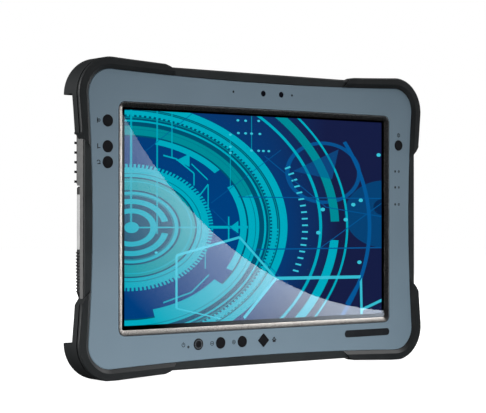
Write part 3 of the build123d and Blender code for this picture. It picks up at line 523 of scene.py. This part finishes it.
line(62, 16, 120, 52, 0.5, FAINT, 0.8)
line(62, 12, 130, -42, 0.5, FAINT, 0.8)
trace([(24, 46), (34, 44), (48, 35), (48, 27)], 1.0, CYAN)
trace([(46, 41), (59, 31)], 0.9, CYAN)
trace([(51, 19), (59.3, 28), (59.3, 11)], 1.0, CYAN)
trace([(24, -48), (46, -42), (60, -31)], 1.0, CYAN, 0.9)
line(57, -10, 57, -27, 0.9, CYAN, 0.8)
trace([(34.3, -52), (34.3, -18), (85, -6.7), (115.7, -34.6)], 1.7, PALE, 0.9)
trace([(34.3, -52), (70, -60)], 0.9, PALE, 0.8)
trace([(88.6, -60.3), (115.7, -34.6), (192, -35.3), (192.9, -66)], 2.2, PALE, 0.9)
trace([(178, -54), (193, -35)], 1.4, FAINT)
line(191.4, -58.9, 216, -51, 2.0, PALE, 0.9)


small_dots = [(83.6, 70.7), (90, 70.7), (101, 71), (84, 62.3), (90, 62.3), (95, 62.3), (102, 62.3)]
small_dots += [(77.4, 61), (77.4, 53), (77.4, 49), (95, 51), (101, 51), (105, 51), (109.6, 51)]
small_dots += [(18.6, -16)]
large_dots = [(157, 12), (153, -4), (178, 5), (185, 15.5), (192, 18.6), (209, 51), (190.7, -25)]
for size, places in ((1.2, small_dots), (2.0, large_dots)):
    for x, z in places:
        lay(PALE, oval(x, z).below(size))

picture_shader = art.nodes["Principled BSDF"]
picture_shader.inputs["Base Color"].default_value = (0.004, 0.004, 0.006, 1.0)
picture_shader.inputs["Roughness"].default_value = 0.3
picture_shader.inputs["Specular IOR Level"].default_value = 0.0
picture_shader.inputs["Emission Strength"].default_value = 1.2
art.links.new(layers[-1], picture_shader.inputs["Emission Color"])
finishes["display_lit"] = picture
print("layers on the picture:", len(layers))

# %% [markdown]
# ## Finished copies of the solids
# A CAD solid has knife-sharp edges, and real mouldings never do. A copy of its mesh is merged,
# its flat triangles are joined into whole faces, and a Bevel eases the corners, so that edges
# catch the light. The copy then stands for the node, whose own mesh is left alone. The bumpers
# have narrow faces where a full bevel would fold over itself, so theirs is clamped. A bevel made
# the corners of the front panel render black, so the panel keeps its own mesh.


# %% Easing a solid's edges
FLAT = math.radians(0.6)
EDGE = math.radians(28)


def link(piece):
    bpy.context.scene.collection.objects.link(piece)
    return piece


def settle(piece):
    """Turns what the modifiers show into the piece's own plain mesh."""
    graph = bpy.context.evaluated_depsgraph_get()
    graph.update()
    mesh = bpy.data.meshes.new_from_object(piece.evaluated_get(graph))
    piece.modifiers.clear()
    piece.data = mesh
    return piece


def stand_for(piece, *names):
    """The piece replaces these nodes: it rides on their body and has their finish."""
    piece.data.materials.clear()
    piece.data.materials.append(finishes[slot_of[names[0]]])
    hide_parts(*names)
    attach(piece, cad[names[0]]["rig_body"])
    return piece


def eased(name, edge, clamp=False):
    """A finished copy of a CAD node, with its edges eased by a width in millimetres."""
    shape = bmesh.new()
    shape.from_mesh(cad[name].data)
    bmesh.ops.remove_doubles(shape, verts=shape.verts, dist=SAME_POINT)
    bmesh.ops.dissolve_limit(shape, angle_limit=FLAT, verts=shape.verts, edges=shape.edges)
    for face in shape.faces:
        face.smooth = True
    mesh = bpy.data.meshes.new(name + "_eased")
    shape.to_mesh(mesh)
    shape.free()
    piece = link(bpy.data.objects.new(name + "_eased", mesh))
    bevel = piece.modifiers.new("Eased edges", "BEVEL")
    bevel.width = edge * MM
    bevel.segments = 2
    bevel.limit_method = "ANGLE"
    bevel.angle_limit = EDGE
    bevel.use_clamp_overlap = clamp
    even = piece.modifiers.new("Even shading", "WEIGHTED_NORMAL")
    even.keep_sharp = True
    return stand_for(settle(piece), name)


edges = {
    "front_frame": 0.15,
    "side_frame": 0.12,
    "rear_shell": 0.15,
    "port_frame": 0.12,
    "bumper_upper_right": 0.3,
    "bumper_upper_left": 0.3,
    "bumper_lower_right": 0.3,
    "bumper_lower_left": 0.3,
    "battery_pack": 0.3,
    "latch_left": 0.15,
    "latch_right": 0.15,
    "port_door": 0.25,
    "stylus_cap": 0.2,
    "stylus_barrel": 0.1,
    "rear_camera": 0.3,
    "dock_connector": 0.15,
    "name_plate": 0.08,
}
for key in ("fn", "f1", "f2", "power", "minus", "plus", "home", "p"):
    edges[key + "_button"] = 0.12
for name, edge in edges.items():
    piece = eased(name, edge, clamp=name.startswith("bumper"))
    print(piece.name, len(piece.data.polygons), "faces")

# %% [markdown]
# ## Growing pieces with Geometry Nodes
# What repeats, or follows a path, is grown by a Geometry Nodes tree with named inputs. One
# helper starts a tree, one ends it, and one runs it once on a few points or wires and keeps the
# plain mesh, so nothing live is left on the tablet. Sizes go in by each socket's identifier,
# before the first evaluation.


# %% Geometry Nodes helpers
def new_tree(name, sizes):
    """A tree with a material input and named sizes. sizes maps a name to its starting value."""
    tree = bpy.data.node_groups.new(name, "GeometryNodeTree")
    tree.interface.new_socket("Geometry", in_out="OUTPUT", socket_type="NodeSocketGeometry")
    tree.interface.new_socket("Geometry", in_out="INPUT", socket_type="NodeSocketGeometry")
    tree.interface.new_socket("Finish", in_out="INPUT", socket_type="NodeSocketMaterial")
    for label, value in sizes.items():
        kind = "NodeSocketInt" if isinstance(value, int) else "NodeSocketFloat"
        tree.interface.new_socket(label, in_out="INPUT", socket_type=kind).default_value = value
    return tree, tree.nodes.new("NodeGroupInput").outputs


def times(tree, first, second):
    """The product of two numbers in a tree."""
    return node(tree, "ShaderNodeMath", {0: first, 1: second}, operation="MULTIPLY").outputs[0]


def vector(tree, **parts):
    """A vector from its X, Y and Z."""
    return node(tree, "ShaderNodeCombineXYZ", parts).outputs[0]


def moved(tree, geometry, by):
    """Geometry moved by a vector."""
    return node(tree, "GeometryNodeTransform", {"Geometry": geometry, "Translation": by})


def close_tree(tree, sizes, geometry):
    """Ends a tree: instances become real mesh, and the finish is set."""
    real = node(tree, "GeometryNodeRealizeInstances", {"Geometry": geometry})
    coated = {"Geometry": real.outputs[0], "Material": sizes["Finish"]}
    node(tree, "NodeGroupOutput", {0: node(tree, "GeometryNodeSetMaterial", coated).outputs[0]})


def grow(name, tree, slot, sizes, points=(), wires=()):
    """Runs a tree on some points and wires, and keeps the result as a plain mesh."""
    mesh = bpy.data.meshes.new(name)
    mesh.from_pydata([tuple(p) for p in points], wires, [])
    piece = link(bpy.data.objects.new(name, mesh))
    run = piece.modifiers.new("Grow", "NODES")
    run.node_group = tree
    values = {**sizes, "Finish": finishes[slot]}
    for item in tree.interface.items_tree:
        if item.in_out == "INPUT" and item.name in values:
            run[item.identifier] = values[item.name]
    settle(piece)
    print(name, len(piece.data.polygons), "faces")
    return piece


def tidy_faces(piece, angle=40):
    """Merges doubles, turns every face outwards and shades it smooth up to an angle."""
    shape = bmesh.new()
    shape.from_mesh(piece.data)
    bmesh.ops.remove_doubles(shape, verts=shape.verts, dist=0.001 * MM)
    bmesh.ops.recalc_face_normals(shape, faces=shape.faces)
    shape.to_mesh(piece.data)
    shape.free()
    piece.data.shade_smooth()
    piece.data.set_sharp_from_angle(angle=math.radians(angle))
    return piece


# %% [markdown]
# ## Display trim
# The trim is one cast section that runs all the way round the opening, so its shape follows a
# rule: a profile swept along a rounded rectangle. Curve to Mesh does just that. The path is the
# trim's outer edge, and the profile slopes from there down to the glass. Each corner of the
# section is its distance in from the outer edge and its depth, in millimetres.

# %% Sweep the display trim
trim_low, trim_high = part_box("display_trim")
TRIM_ACROSS = 3.3
TRIM_WALL = 1.15
TRIM_CORNER = 4.45
trim_deep = (trim_high.y - trim_low.y) / MM
to_glass = (glass_low.y - trim_low.y) / MM - 0.06
section = [
    (0.0, 0.0),
    (0.45, 0.0),
    (0.62, 0.06),
    (TRIM_ACROSS - 0.22, to_glass - 0.44),
    (TRIM_ACROSS - 0.05, to_glass - 0.30),
    (TRIM_ACROSS, to_glass - 0.14),
    (TRIM_ACROSS, to_glass),
    (TRIM_WALL, to_glass),
    (TRIM_WALL, trim_deep),
    (0.0, trim_deep),
]
tree, sizes = new_tree("Swept trim", {"Width": 0.2, "Height": 0.1, "Corner": 0.004})
rectangle = node(
    tree,
    "GeometryNodeCurvePrimitiveQuadrilateral",
    {"Width": sizes["Width"], "Height": sizes["Height"]},
)
path = node(
    tree,
    "GeometryNodeFilletCurve",
    {
        "Curve": rectangle.outputs[0],
        "Radius": sizes["Corner"],
        "Limit Radius": True,
        "Count": 10,
    },
    mode="POLY",
)
outline = node(tree, "GeometryNodeMeshToCurve", {"Mesh": sizes["Geometry"]})
sweep = node(
    tree,
    "GeometryNodeCurveToMesh",
    {"Curve": path.outputs[0], "Profile Curve": outline.outputs[0]},
)
close_tree(tree, sizes, sweep.outputs[0])
print("trim section corners:", len(section))

# %% [markdown]
# The section is a closed loop of edges that the tree turns into a profile curve. The sweep comes
# out lying down, so its points are stood up in place, and the normals are recalculated because
# that swap mirrors it.

# %% Run the sweep
corners = [(-x * MM, -y * MM, 0.0) for x, y in section]
loop = [(i, (i + 1) % len(corners)) for i in range(len(corners))]
trim_sizes = {
    "Width": trim_high.x - trim_low.x,
    "Height": trim_high.z - trim_low.z,
    "Corner": TRIM_CORNER * MM,
}
trim = grow("display_trim_swept", tree, "trim_cast", trim_sizes, corners, loop)
for corner in trim.data.vertices:
    x, z, deep = corner.co
    corner.co = (x + CENTRE_X, trim_low.y + deep, z + CENTRE_Z)
stand_for(tidy_faces(trim, 30), "display_trim")
print("display trim stood up:", len(trim.data.polygons), "faces")

# %% [markdown]
# ## Shell screws
# Eight socket screws hold the rear shell. One head is modelled in the tree, with the hexagon cut
# by a Mesh Boolean, and instanced on a point for each screw. The points come from the CAD node,
# so a moved screw takes its finished one along.

# %% Socket screws
tree, sizes = new_tree(
    "Socket screw",
    {"Head": 0.0024, "Height": 0.0015, "Shank": 0.00125, "Length": 0.006},
)
head_at = vector(tree, Z=times(tree, sizes["Height"], -0.5))
head = node(
    tree,
    "GeometryNodeMeshCylinder",
    {"Vertices": 40, "Radius": sizes["Head"], "Depth": sizes["Height"]},
)
head = moved(tree, head.outputs[0], head_at)
socket = node(
    tree,
    "GeometryNodeMeshCylinder",
    {"Vertices": 6, "Radius": times(tree, sizes["Head"], 0.5), "Depth": sizes["Height"]},
)
cut = node(tree, "GeometryNodeMeshBoolean", {0: head.outputs[0]}, operation="DIFFERENCE")
tree.links.new(socket.outputs[0], cut.inputs[1])
shank_half = times(tree, sizes["Length"], -0.5)
shank_down = node(tree, "ShaderNodeMath", {0: shank_half, 1: sizes["Height"]}, operation="SUBTRACT")
shank = node(
    tree,
    "GeometryNodeMeshCylinder",
    {"Vertices": 24, "Radius": sizes["Shank"], "Depth": sizes["Length"]},
)
shank = moved(tree, shank.outputs[0], vector(tree, Z=shank_down.outputs[0]))
screw = node(tree, "GeometryNodeJoinGeometry")
tree.links.new(cut.outputs[0], screw.inputs[0])
tree.links.new(shank.outputs[0], screw.inputs[0])
upright = (-math.pi / 2, 0.0, 0.0)
spread = node(
    tree,
    "GeometryNodeInstanceOnPoints",
    {"Points": sizes["Geometry"], "Instance": screw.outputs[0], "Rotation": upright},
)
close_tree(tree, sizes, spread.outputs[0])

SCREW_HEAD = 1.5 * MM
SCREW_SHANK = 1.25 * MM
screw_boxes = islands("shell_screws")
screw_length = screw_boxes[0][1].y - screw_boxes[0][0].y
screw_sizes = {
    "Head": (screw_boxes[0][1].x - screw_boxes[0][0].x) / 2,
    "Height": SCREW_HEAD,
    "Shank": SCREW_SHANK,
    "Length": screw_length - SCREW_HEAD,
}
screw_points = [((a.x + b.x) / 2, b.y, (a.z + b.z) / 2) for a, b in screw_boxes]
screws = grow("shell_screws_grown", tree, "screw_black", screw_sizes, screw_points)
stand_for(tidy_faces(screws, 30), "shell_screws")
print("screws:", len(screw_points))

# %% [markdown]
# ## Ribbed grips
# A strip of rubber on each slanted rear edge gives the fingers a hold. One rounded rib is a cube
# under a Subdivision Surface with creased edges, repeated along the strip. It is grown flat,
# then laid on the 45 degree edge, and mirrored for the other hand.

# %% Grow a grip
tree, sizes = new_tree(
    "Ribbed grip",
    {
        "Ribs": 7,
        "Pitch": 0.006,
        "Rib Length": 0.005,
        "Rib Height": 0.0022,
        "Rib Width": 0.0015,
        "Breadth": 0.006,
        "Base": 0.0006,
        "Length": 0.039,
    },
)
rib_size = vector(tree, X=sizes["Rib Length"], Y=sizes["Rib Height"], Z=sizes["Rib Width"])
rib = node(tree, "GeometryNodeMeshCube", {"Size": rib_size})
rib = node(
    tree,
    "GeometryNodeSubdivisionSurface",
    {"Mesh": rib.outputs[0], "Level": 3, "Edge Crease": 0.55},
)
gaps = node(tree, "ShaderNodeMath", {0: sizes["Ribs"], 1: 1.0}, operation="SUBTRACT")
whole = times(tree, gaps.outputs[0], sizes["Pitch"])
start = vector(tree, Y=times(tree, sizes["Rib Height"], 0.5), Z=times(tree, whole, -0.5))
step = vector(tree, Z=sizes["Pitch"])
row = node(
    tree,
    "GeometryNodeMeshLine",
    {"Count": sizes["Ribs"], "Start Location": start, "Offset": step},
)
ribs = node(
    tree,
    "GeometryNodeInstanceOnPoints",
    {"Points": row.outputs[0], "Instance": rib.outputs[0]},
)
base_size = vector(tree, X=sizes["Breadth"], Y=sizes["Base"], Z=sizes["Length"])
base = node(tree, "GeometryNodeMeshCube", {"Size": base_size, "Vertices X": 4, "Vertices Z": 12})
base = node(
    tree,
    "GeometryNodeSubdivisionSurface",
    {"Mesh": base.outputs[0], "Level": 2, "Edge Crease": 0.8},
)
base = moved(tree, base.outputs[0], vector(tree, Y=times(tree, sizes["Base"], 0.5)))
grip = node(tree, "GeometryNodeJoinGeometry")
tree.links.new(ribs.outputs[0], grip.inputs[0])
tree.links.new(base.outputs[0], grip.inputs[0])
close_tree(tree, sizes, grip.outputs[0])
print("grip tree:", len(tree.nodes), "nodes")

# %% Lay the grips on their edges
# Half a grip's 6 mm breadth, laid at 45 degrees, is how far its middle is from each box edge.
GRIP_REACH = 3.0 * math.sin(math.pi / 4) * MM
RIB_PITCH = 6.0 * MM
for side, name in ((1, "grip_right"), (-1, "grip_left")):
    low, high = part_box(name)
    grip_sizes = {"Pitch": RIB_PITCH, "Length": high.z - low.z}
    piece = grow(name + "_grown", tree, "grip_rubber", grip_sizes)
    edge_x = low.x + GRIP_REACH if side > 0 else high.x - GRIP_REACH
    place = Matrix.Translation((edge_x, low.y + GRIP_REACH, (low.z + high.z) / 2))
    place = place @ Matrix.Rotation(-side * math.pi / 4, 4, "Z") @ Matrix.Diagonal((side, 1, 1, 1))
    piece.data.transform(place)
    stand_for(tidy_faces(piece, 50), name)

# %% [markdown]
# ## Stylus grip
# The pen's lower end has soft rings that stop it slipping, and a tapered tip. Rings are a circle
# swept round a circle and instanced up a line, the core is a cylinder, and the tip is a cone.

# %% Grow the stylus grip
PEN_TIP = 0.006
tree, sizes = new_tree(
    "Ringed grip",
    {
        "Radius": 0.0032,
        "Rib": 0.0006,
        "Pitch": 0.002,
        "Rings": 13,
        "Length": 0.027,
        "Tip": PEN_TIP,
        "Point": 0.0012,
    },
)


def above_tip(height):
    """A vector up to a height over the tip's cone."""
    total = node(tree, "ShaderNodeMath", {0: height, 1: sizes["Tip"]}, operation="ADD")
    return vector(tree, Z=total.outputs[0])


core = node(
    tree,
    "GeometryNodeMeshCylinder",
    {"Vertices": 48, "Radius": sizes["Radius"], "Depth": sizes["Length"]},
)
core = moved(tree, core.outputs[0], above_tip(times(tree, sizes["Length"], 0.5)))
cone_sizes = {"Radius Top": sizes["Radius"], "Radius Bottom": sizes["Point"], "Depth": sizes["Tip"]}
cone = node(tree, "GeometryNodeMeshCone", {"Vertices": 48, **cone_sizes})
circle = "GeometryNodeCurvePrimitiveCircle"
ring_path = node(tree, circle, {"Resolution": 48, "Radius": sizes["Radius"]})
ring_wire = node(tree, circle, {"Resolution": 10, "Radius": sizes["Rib"]})
ring = node(
    tree,
    "GeometryNodeCurveToMesh",
    {"Curve": ring_path.outputs[0], "Profile Curve": ring_wire.outputs[0]},
)
first_at = above_tip(times(tree, sizes["Pitch"], 0.5))
ring_step = vector(tree, Z=sizes["Pitch"])
stack = node(
    tree,
    "GeometryNodeMeshLine",
    {"Count": sizes["Rings"], "Start Location": first_at, "Offset": ring_step},
)
rings_up = node(
    tree,
    "GeometryNodeInstanceOnPoints",
    {"Points": stack.outputs[0], "Instance": ring.outputs[0]},
)
pen = node(tree, "GeometryNodeJoinGeometry")
for part in (rings_up, core, cone):
    tree.links.new(part.outputs[0], pen.inputs[0])
close_tree(tree, sizes, pen.outputs[0])

pen_low, pen_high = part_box("stylus_grip")
pen_sizes = {"Length": pen_high.z - pen_low.z - PEN_TIP}
pen_grip = grow("stylus_grip_grown", tree, "stylus_black", pen_sizes)
pen_middle = (pen_low + pen_high) / 2
pen_grip.data.transform(Matrix.Translation((pen_middle.x, pen_middle.y, pen_low.z)))
stand_for(tidy_faces(pen_grip, 35), "stylus_grip")

# %% [markdown]
# ## Dust mesh behind the speaker slots
# Fine woven wire keeps grit out of the speakers. A flat grid is turned into curves, and each is
# given a thin square section, which is cheap enough for hundreds of crossings.

# %% Grow the dust mesh
tree, sizes = new_tree("Dust mesh", {"Across": 0.022, "Up": 0.013, "Wire": 0.0001})
sheet_size = {"Size X": sizes["Across"], "Size Y": sizes["Up"]}
weave = node(tree, "GeometryNodeMeshGrid", {**sheet_size, "Vertices X": 28, "Vertices Y": 17})
wires = node(tree, "GeometryNodeMeshToCurve", {"Mesh": weave.outputs[0]})
wire = node(tree, circle, {"Resolution": 4, "Radius": sizes["Wire"]})
cloth = node(
    tree,
    "GeometryNodeCurveToMesh",
    {"Curve": wires.outputs[0], "Profile Curve": wire.outputs[0], "Fill Caps": True},
)
facing = (math.pi / 2, 0.0, 0.0)
sheets = node(
    tree,
    "GeometryNodeInstanceOnPoints",
    {"Points": sizes["Geometry"], "Instance": cloth.outputs[0], "Rotation": facing},
)
close_tree(tree, sizes, sheets.outputs[0])
BEHIND_SPEAKER = 0.45 * MM
WIRE_RADIUS = 0.1 * MM
speaker_boxes = islands("speakers")
mesh_points = [((a.x + b.x) / 2, b.y + BEHIND_SPEAKER, (a.z + b.z) / 2) for a, b in speaker_boxes]
dust = grow("dust_mesh", tree, "mesh_black", {"Wire": WIRE_RADIUS}, mesh_points)
tidy_faces(dust, 50)
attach(dust, "tablet")

# %% [markdown]
# ## Printed signs
# Each key has a small printed sign beside it. They could be a painted texture, but thin raised
# prints are sharper and need no picture file. Two shapes are enough: a bar, and a hoop made of
# short bars. The signs are plain and generic, and there is no lettering.


# %% Stamps for the signs
prints = bmesh.new()
PRINT = 0.02 * MM
# Strokes are drawn this many times as wide and long as their sizes say, so that they read.
SIGN = 1.3


def stamp(outline_points):
    """A thin print with this outline, given in metres across and up, standing on the face."""
    front = [prints.verts.new((x, FACE - PRINT, z)) for x, z in outline_points]
    back = [prints.verts.new((x, FACE + PRINT / 2, z)) for x, z in outline_points]
    prints.faces.new(front)
    prints.faces.new(back[::-1])
    for i in range(len(front)):
        j = (i + 1) % len(front)
        prints.faces.new((front[j], front[i], back[i], back[j]))


def bar(x, z, width, height, lean=0.0):
    """A bar centred at x, z in millimetres from the front's centre, leaning by degrees."""
    a = math.radians(lean)
    width, height = width * SIGN, height * SIGN
    half = [(su * width / 2, sv * height / 2) for su, sv in ((-1, -1), (1, -1), (1, 1), (-1, 1))]
    cos, sin = math.cos(a), math.sin(a)
    turned = [(u * cos - v * sin, u * sin + v * cos) for u, v in half]
    stamp([(CENTRE_X + (x + u) * MM, CENTRE_Z + (z + v) * MM) for u, v in turned])


def hoop(x, z, size, width, start=0, sweep=360):
    """A ring or an arc of it, from short bars."""
    count = max(6, round(sweep / 18))
    for i in range(count):
        a = math.radians(start + (i + 0.5) * sweep / count)
        chord = 2 * size * math.tan(math.radians(sweep / count / 2)) + 0.03
        bar(x + size * math.cos(a), z + size * math.sin(a), width, chord, math.degrees(a))


def on_front(spot):
    """A point's place in millimetres across and up from the front's centre."""
    return (spot.x - CENTRE_X) / MM, (spot.z - CENTRE_Z) / MM


# %% Signs beside the keys
# Each stroke is its shape, its place from the key's middle, and its sizes.
key_signs = {
    "fn_button": [(bar, -7.6, 0.0, 0.45, 2.4), (hoop, -6.4, 0.0, 0.75, 0.4)],
    "f1_button": [(bar, -7.4, 0.0, 0.5, 2.4), (bar, -6.4, -1.0, 1.5, 0.4)],
    "f2_button": [(hoop, -6.8, 0.0, 1.1, 0.4, -60, 220), (bar, -6.4, -1.1, 1.8, 0.4)],
    "power_button": [(hoop, -11.9, 0.0, 1.15, 0.35, 120, 300), (bar, -11.9, 0.9, 0.35, 1.5)],
    "minus_button": [(hoop, -7.0, 0.0, 1.25, 0.3), (bar, -7.0, 0.0, 1.3, 0.35)],
    "plus_button": [
        (hoop, -7.0, 0.0, 1.25, 0.3),
        (bar, -7.0, 0.0, 1.3, 0.35),
        (bar, -7.0, 0.0, 0.35, 1.3),
    ],
    "home_button": [
        (bar, 8.4, 0.75, 2.4, 0.45, 38),
        (bar, 9.6, 0.75, 2.4, 0.45, -38),
        (bar, 9.0, -0.75, 1.9, 1.3),
    ],
    "p_button": [(hoop, 0.0, 7.2, 1.2, 0.4), (bar, 0.0, 7.2, 0.4, 1.2)],
}
for key, strokes in key_signs.items():
    x, z = on_front(middle(key))
    for draw, right, high, *measures in strokes:
        draw(x + right, z + high, *measures)
BESIDE_LIGHT = 3.5
for (low, high), size in zip(islands("status_lights"), (1.0, 0.8, 0.9)):
    x, z = on_front((low + high) / 2)
    hoop(x + BESIDE_LIGHT, z, 0.75 * size, 0.3)
    bar(x + BESIDE_LIGHT, z, 0.3, 0.8 * size)

sign_mesh = bpy.data.meshes.new("key_signs")
bmesh.ops.recalc_face_normals(prints, faces=prints.faces)
prints.to_mesh(sign_mesh)
prints.free()
signs = link(bpy.data.objects.new("key_signs", sign_mesh))
sign_mesh.materials.append(finishes["plate_dark"])
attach(signs, "tablet")
print("signs:", len(sign_mesh.polygons), "faces")

# %% [markdown]
# ## Solids that stay as they are
# Boards, modules, connectors and lenses inside the shell are already the right shape. They keep
# their CAD meshes and only take a finish.

# %% Dress the remaining nodes
kept = [name for name, solid in cad.items() if not solid.hide_render]
for name in kept:
    materials = cad[name].data.materials
    materials.clear()
    materials.append(finishes[slot_of[name]])
print("kept as they are:", len(kept))

# %% [markdown]
# ## Floor, light and camera
# The tablet stands on a plain white floor in a white studio. The floor is seen by the camera but
# not by the tablet's own reflections, so the dark sides of the trim stay dark, and it casts no
# shadow, so a lamp can light the tablet from below it. The studio is white to the camera. To the
# tablet it is a soft light that is stronger from above, and weaker still in reflections.


# %% Floor
def staged(name, corners, material):
    mesh = bpy.data.meshes.new(name)
    mesh.from_pydata(corners, [], [list(range(len(corners)))])
    mesh.materials.append(material)
    piece = link(bpy.data.objects.new(name, mesh))
    return piece


ground = bpy.data.materials.new("studio_floor")
ground.use_nodes = True
ground_shader = ground.node_tree.nodes["Principled BSDF"]
ground_shader.inputs["Base Color"].default_value = (0.3, 0.3, 0.3, 1.0)
ground_shader.inputs["Roughness"].default_value = 0.9
ground_shader.inputs["Emission Color"].default_value = (1.0, 1.0, 1.0, 1.0)
ground_shader.inputs["Emission Strength"].default_value = 0.94
FLOOR_RADIUS = 4.0
steps = [i * math.pi / 32 for i in range(64)]
rim = [(FLOOR_RADIUS * math.cos(a), FLOOR_RADIUS * math.sin(a), 0.0) for a in steps]
floor = staged("studio_floor", rim, ground)
floor.visible_glossy = False
floor.visible_diffuse = False
floor.visible_transmission = False
floor.visible_shadow = False
print("floor radius:", FLOOR_RADIUS, "m")

# %% The studio's light
world = bpy.data.worlds.new("studio")
bpy.context.scene.world = world
world.use_nodes = True
sky = world.node_tree
sky.nodes.clear()
seen = node(sky, "ShaderNodeLightPath")
white = node(sky, "ShaderNodeBackground", {"Color": (1.0, 1.0, 1.0, 1.0), "Strength": 1.0})
direction = node(sky, "ShaderNodeTexCoord").outputs["Generated"]
compass = node(sky, "ShaderNodeSeparateXYZ", {0: direction})
climb = {"From Min": -0.1, "From Max": 0.9, "To Min": 0.05, "To Max": 0.30}
rise = node(sky, "ShaderNodeMapRange", {"Value": compass.outputs["Z"], **climb})
dimmer = {"Value": seen.outputs["Is Glossy Ray"], "To Min": 1.0, "To Max": 0.25}
shine = node(sky, "ShaderNodeMapRange", dimmer)
level = times(sky, rise.outputs[0], shine.outputs[0])
soft = node(sky, "ShaderNodeBackground", {"Color": (0.93, 0.96, 1.0, 1.0), "Strength": level})
views = {0: seen.outputs["Is Camera Ray"], 1: soft.outputs[0], 2: white.outputs[0]}
pick = node(sky, "ShaderNodeMixShader", views)
node(sky, "ShaderNodeOutputWorld", {"Surface": pick.outputs[0]})
bpy.context.scene.view_settings.view_transform = "Standard"
print("studio ready")

# %% [markdown]
# The key lamp comes from the upper right and grazes the front. A lamp on each side picks out the
# side walls, a low one fills the undersides, and one behind lights the back. The low and the back
# lamp would show as a haze in the glass, so they light surfaces without being seen in them.


# %% Lamps
def lamp(name, place, aim, size, power, shine=True):
    """A round soft lamp. Without shine it lights surfaces but isn't seen reflected in them."""
    light = bpy.data.lights.new(name, "AREA")
    light.shape = "DISK"
    light.size = size
    light.energy = power
    piece = link(bpy.data.objects.new(name, light))
    piece.location = place
    piece.rotation_euler = (Vector(aim) - Vector(place)).to_track_quat("-Z", "Y").to_euler()
    piece.visible_camera = False
    piece.visible_glossy = shine
    piece.visible_transmission = shine
    print(name, power, "W")


lamp("key_lamp", (1.10, -0.35, 1.05), (0.0, 0.0, 0.1), 0.45, 7.5)
lamp("right_lamp", (1.40, 0.1, 0.12), (0.0, 0.0, 0.1), 0.6, 7.0)
lamp("left_lamp", (-1.3, 0.15, 0.45), (-0.14, 0.0, 0.1), 0.6, 17.0)
lamp("low_lamp", (-0.05, -0.36, -0.10), (-0.03, 0.0, 0.0), 0.3, 1.55, shine=False)
lamp("back_lamp", (0.9, 1.1, 0.8), (0.0, 0.0, 0.1), 0.5, 30.0, shine=False)

# %% [markdown]
# ## A card for the glass to reflect
# Glass shows its surface only by what it reflects. A bright card stands to the right, in front of
# the tablet and outside the view. Seen in the glass from the camera, it is as if seen from the
# camera's mirror image behind the glass, so its edge is worked out from there: a large arc. Below
# the arc the glare is strongest at once and then fades, and it is stronger towards the right.

# %% Camera
EYE = Vector((-0.6239, -0.8084, 0.0996))
AIM = Vector((-0.0107, -0.0007, 0.1086))
lens = bpy.data.cameras.new("camera")
lens.lens = 112.5
lens.sensor_width = 36.0
camera = link(bpy.data.objects.new("camera", lens))
camera.location = EYE
camera.rotation_euler = (AIM - EYE).to_track_quat("-Z", "Y").to_euler()
bpy.context.scene.camera = camera
print("camera", round((AIM - EYE).length, 2), "m from the tablet")

# %% The glare card's place
# Millimetres on the glass: the arc's centre, its radius, and the width over which it fades.
ARC_X, ARC_Z, ARC_RADIUS, ARC_FADE = 133.3, 224.1, 290.2, 74.0
# Overall strength, its factor straight below the arc's centre, and that factor's gain per metre.
GLARE, GLARE_AT_MIDDLE, GLARE_GAIN = 3.8, 1.9, 6.0
GLASS_Y = glass_low.y
CARD_Y = -0.8
mirror_eye = Vector((EYE.x, 2 * GLASS_Y - EYE.y, EYE.z))
spread_out = (CARD_Y - mirror_eye.y) / (GLASS_Y - mirror_eye.y)


def on_card(x, z):
    """Where a point of the glass, in millimetres from its centre, meets the card."""
    point = Vector((CENTRE_X + x * MM, GLASS_Y, CENTRE_Z + z * MM))
    return mirror_eye + (point - mirror_eye) * spread_out


glare = bpy.data.materials.new("glare_card")
glare.use_nodes = True
card_tree = glare.node_tree
card_tree.nodes.clear()
card_place = node(card_tree, "ShaderNodeTexCoord").outputs["Object"]
card_xyz = node(card_tree, "ShaderNodeSeparateXYZ", {0: card_place})
arc_middle = on_card(ARC_X, ARC_Z)
card_x = Field(card_tree, card_xyz.outputs["X"]) - arc_middle.x
card_z = Field(card_tree, card_xyz.outputs["Z"]) - arc_middle.z
past = (card_x * card_x + card_z * card_z).do("SQRT") * (1000 / spread_out) - ARC_RADIUS
rightward = card_x * (GLARE_GAIN / spread_out) + GLARE_AT_MIDDLE
fade = (past * (-1 / ARC_FADE) + 1.0).do("MAXIMUM", 0.0) * past.above(0.0) * rightward * GLARE
pale_blue = {"Color": (0.78, 0.88, 1.0, 1.0), "Strength": fade.socket}
card_light = node(card_tree, "ShaderNodeEmission", pale_blue)
node(card_tree, "ShaderNodeOutputMaterial", {"Surface": card_light.outputs[0]})
# The card covers the glass and a little more, as seen from the mirrored camera.
card_corners = [on_card(x, z) for x, z in ((-118, -75), (118, -75), (118, 76), (-118, 76))]
card = staged("glare_card", card_corners, glare)
card.visible_camera = False
card.visible_diffuse = False
card.visible_shadow = False
print("card from", [round(v, 3) for v in card_corners[0]])
print("card to", [round(v, 3) for v in card_corners[2]])
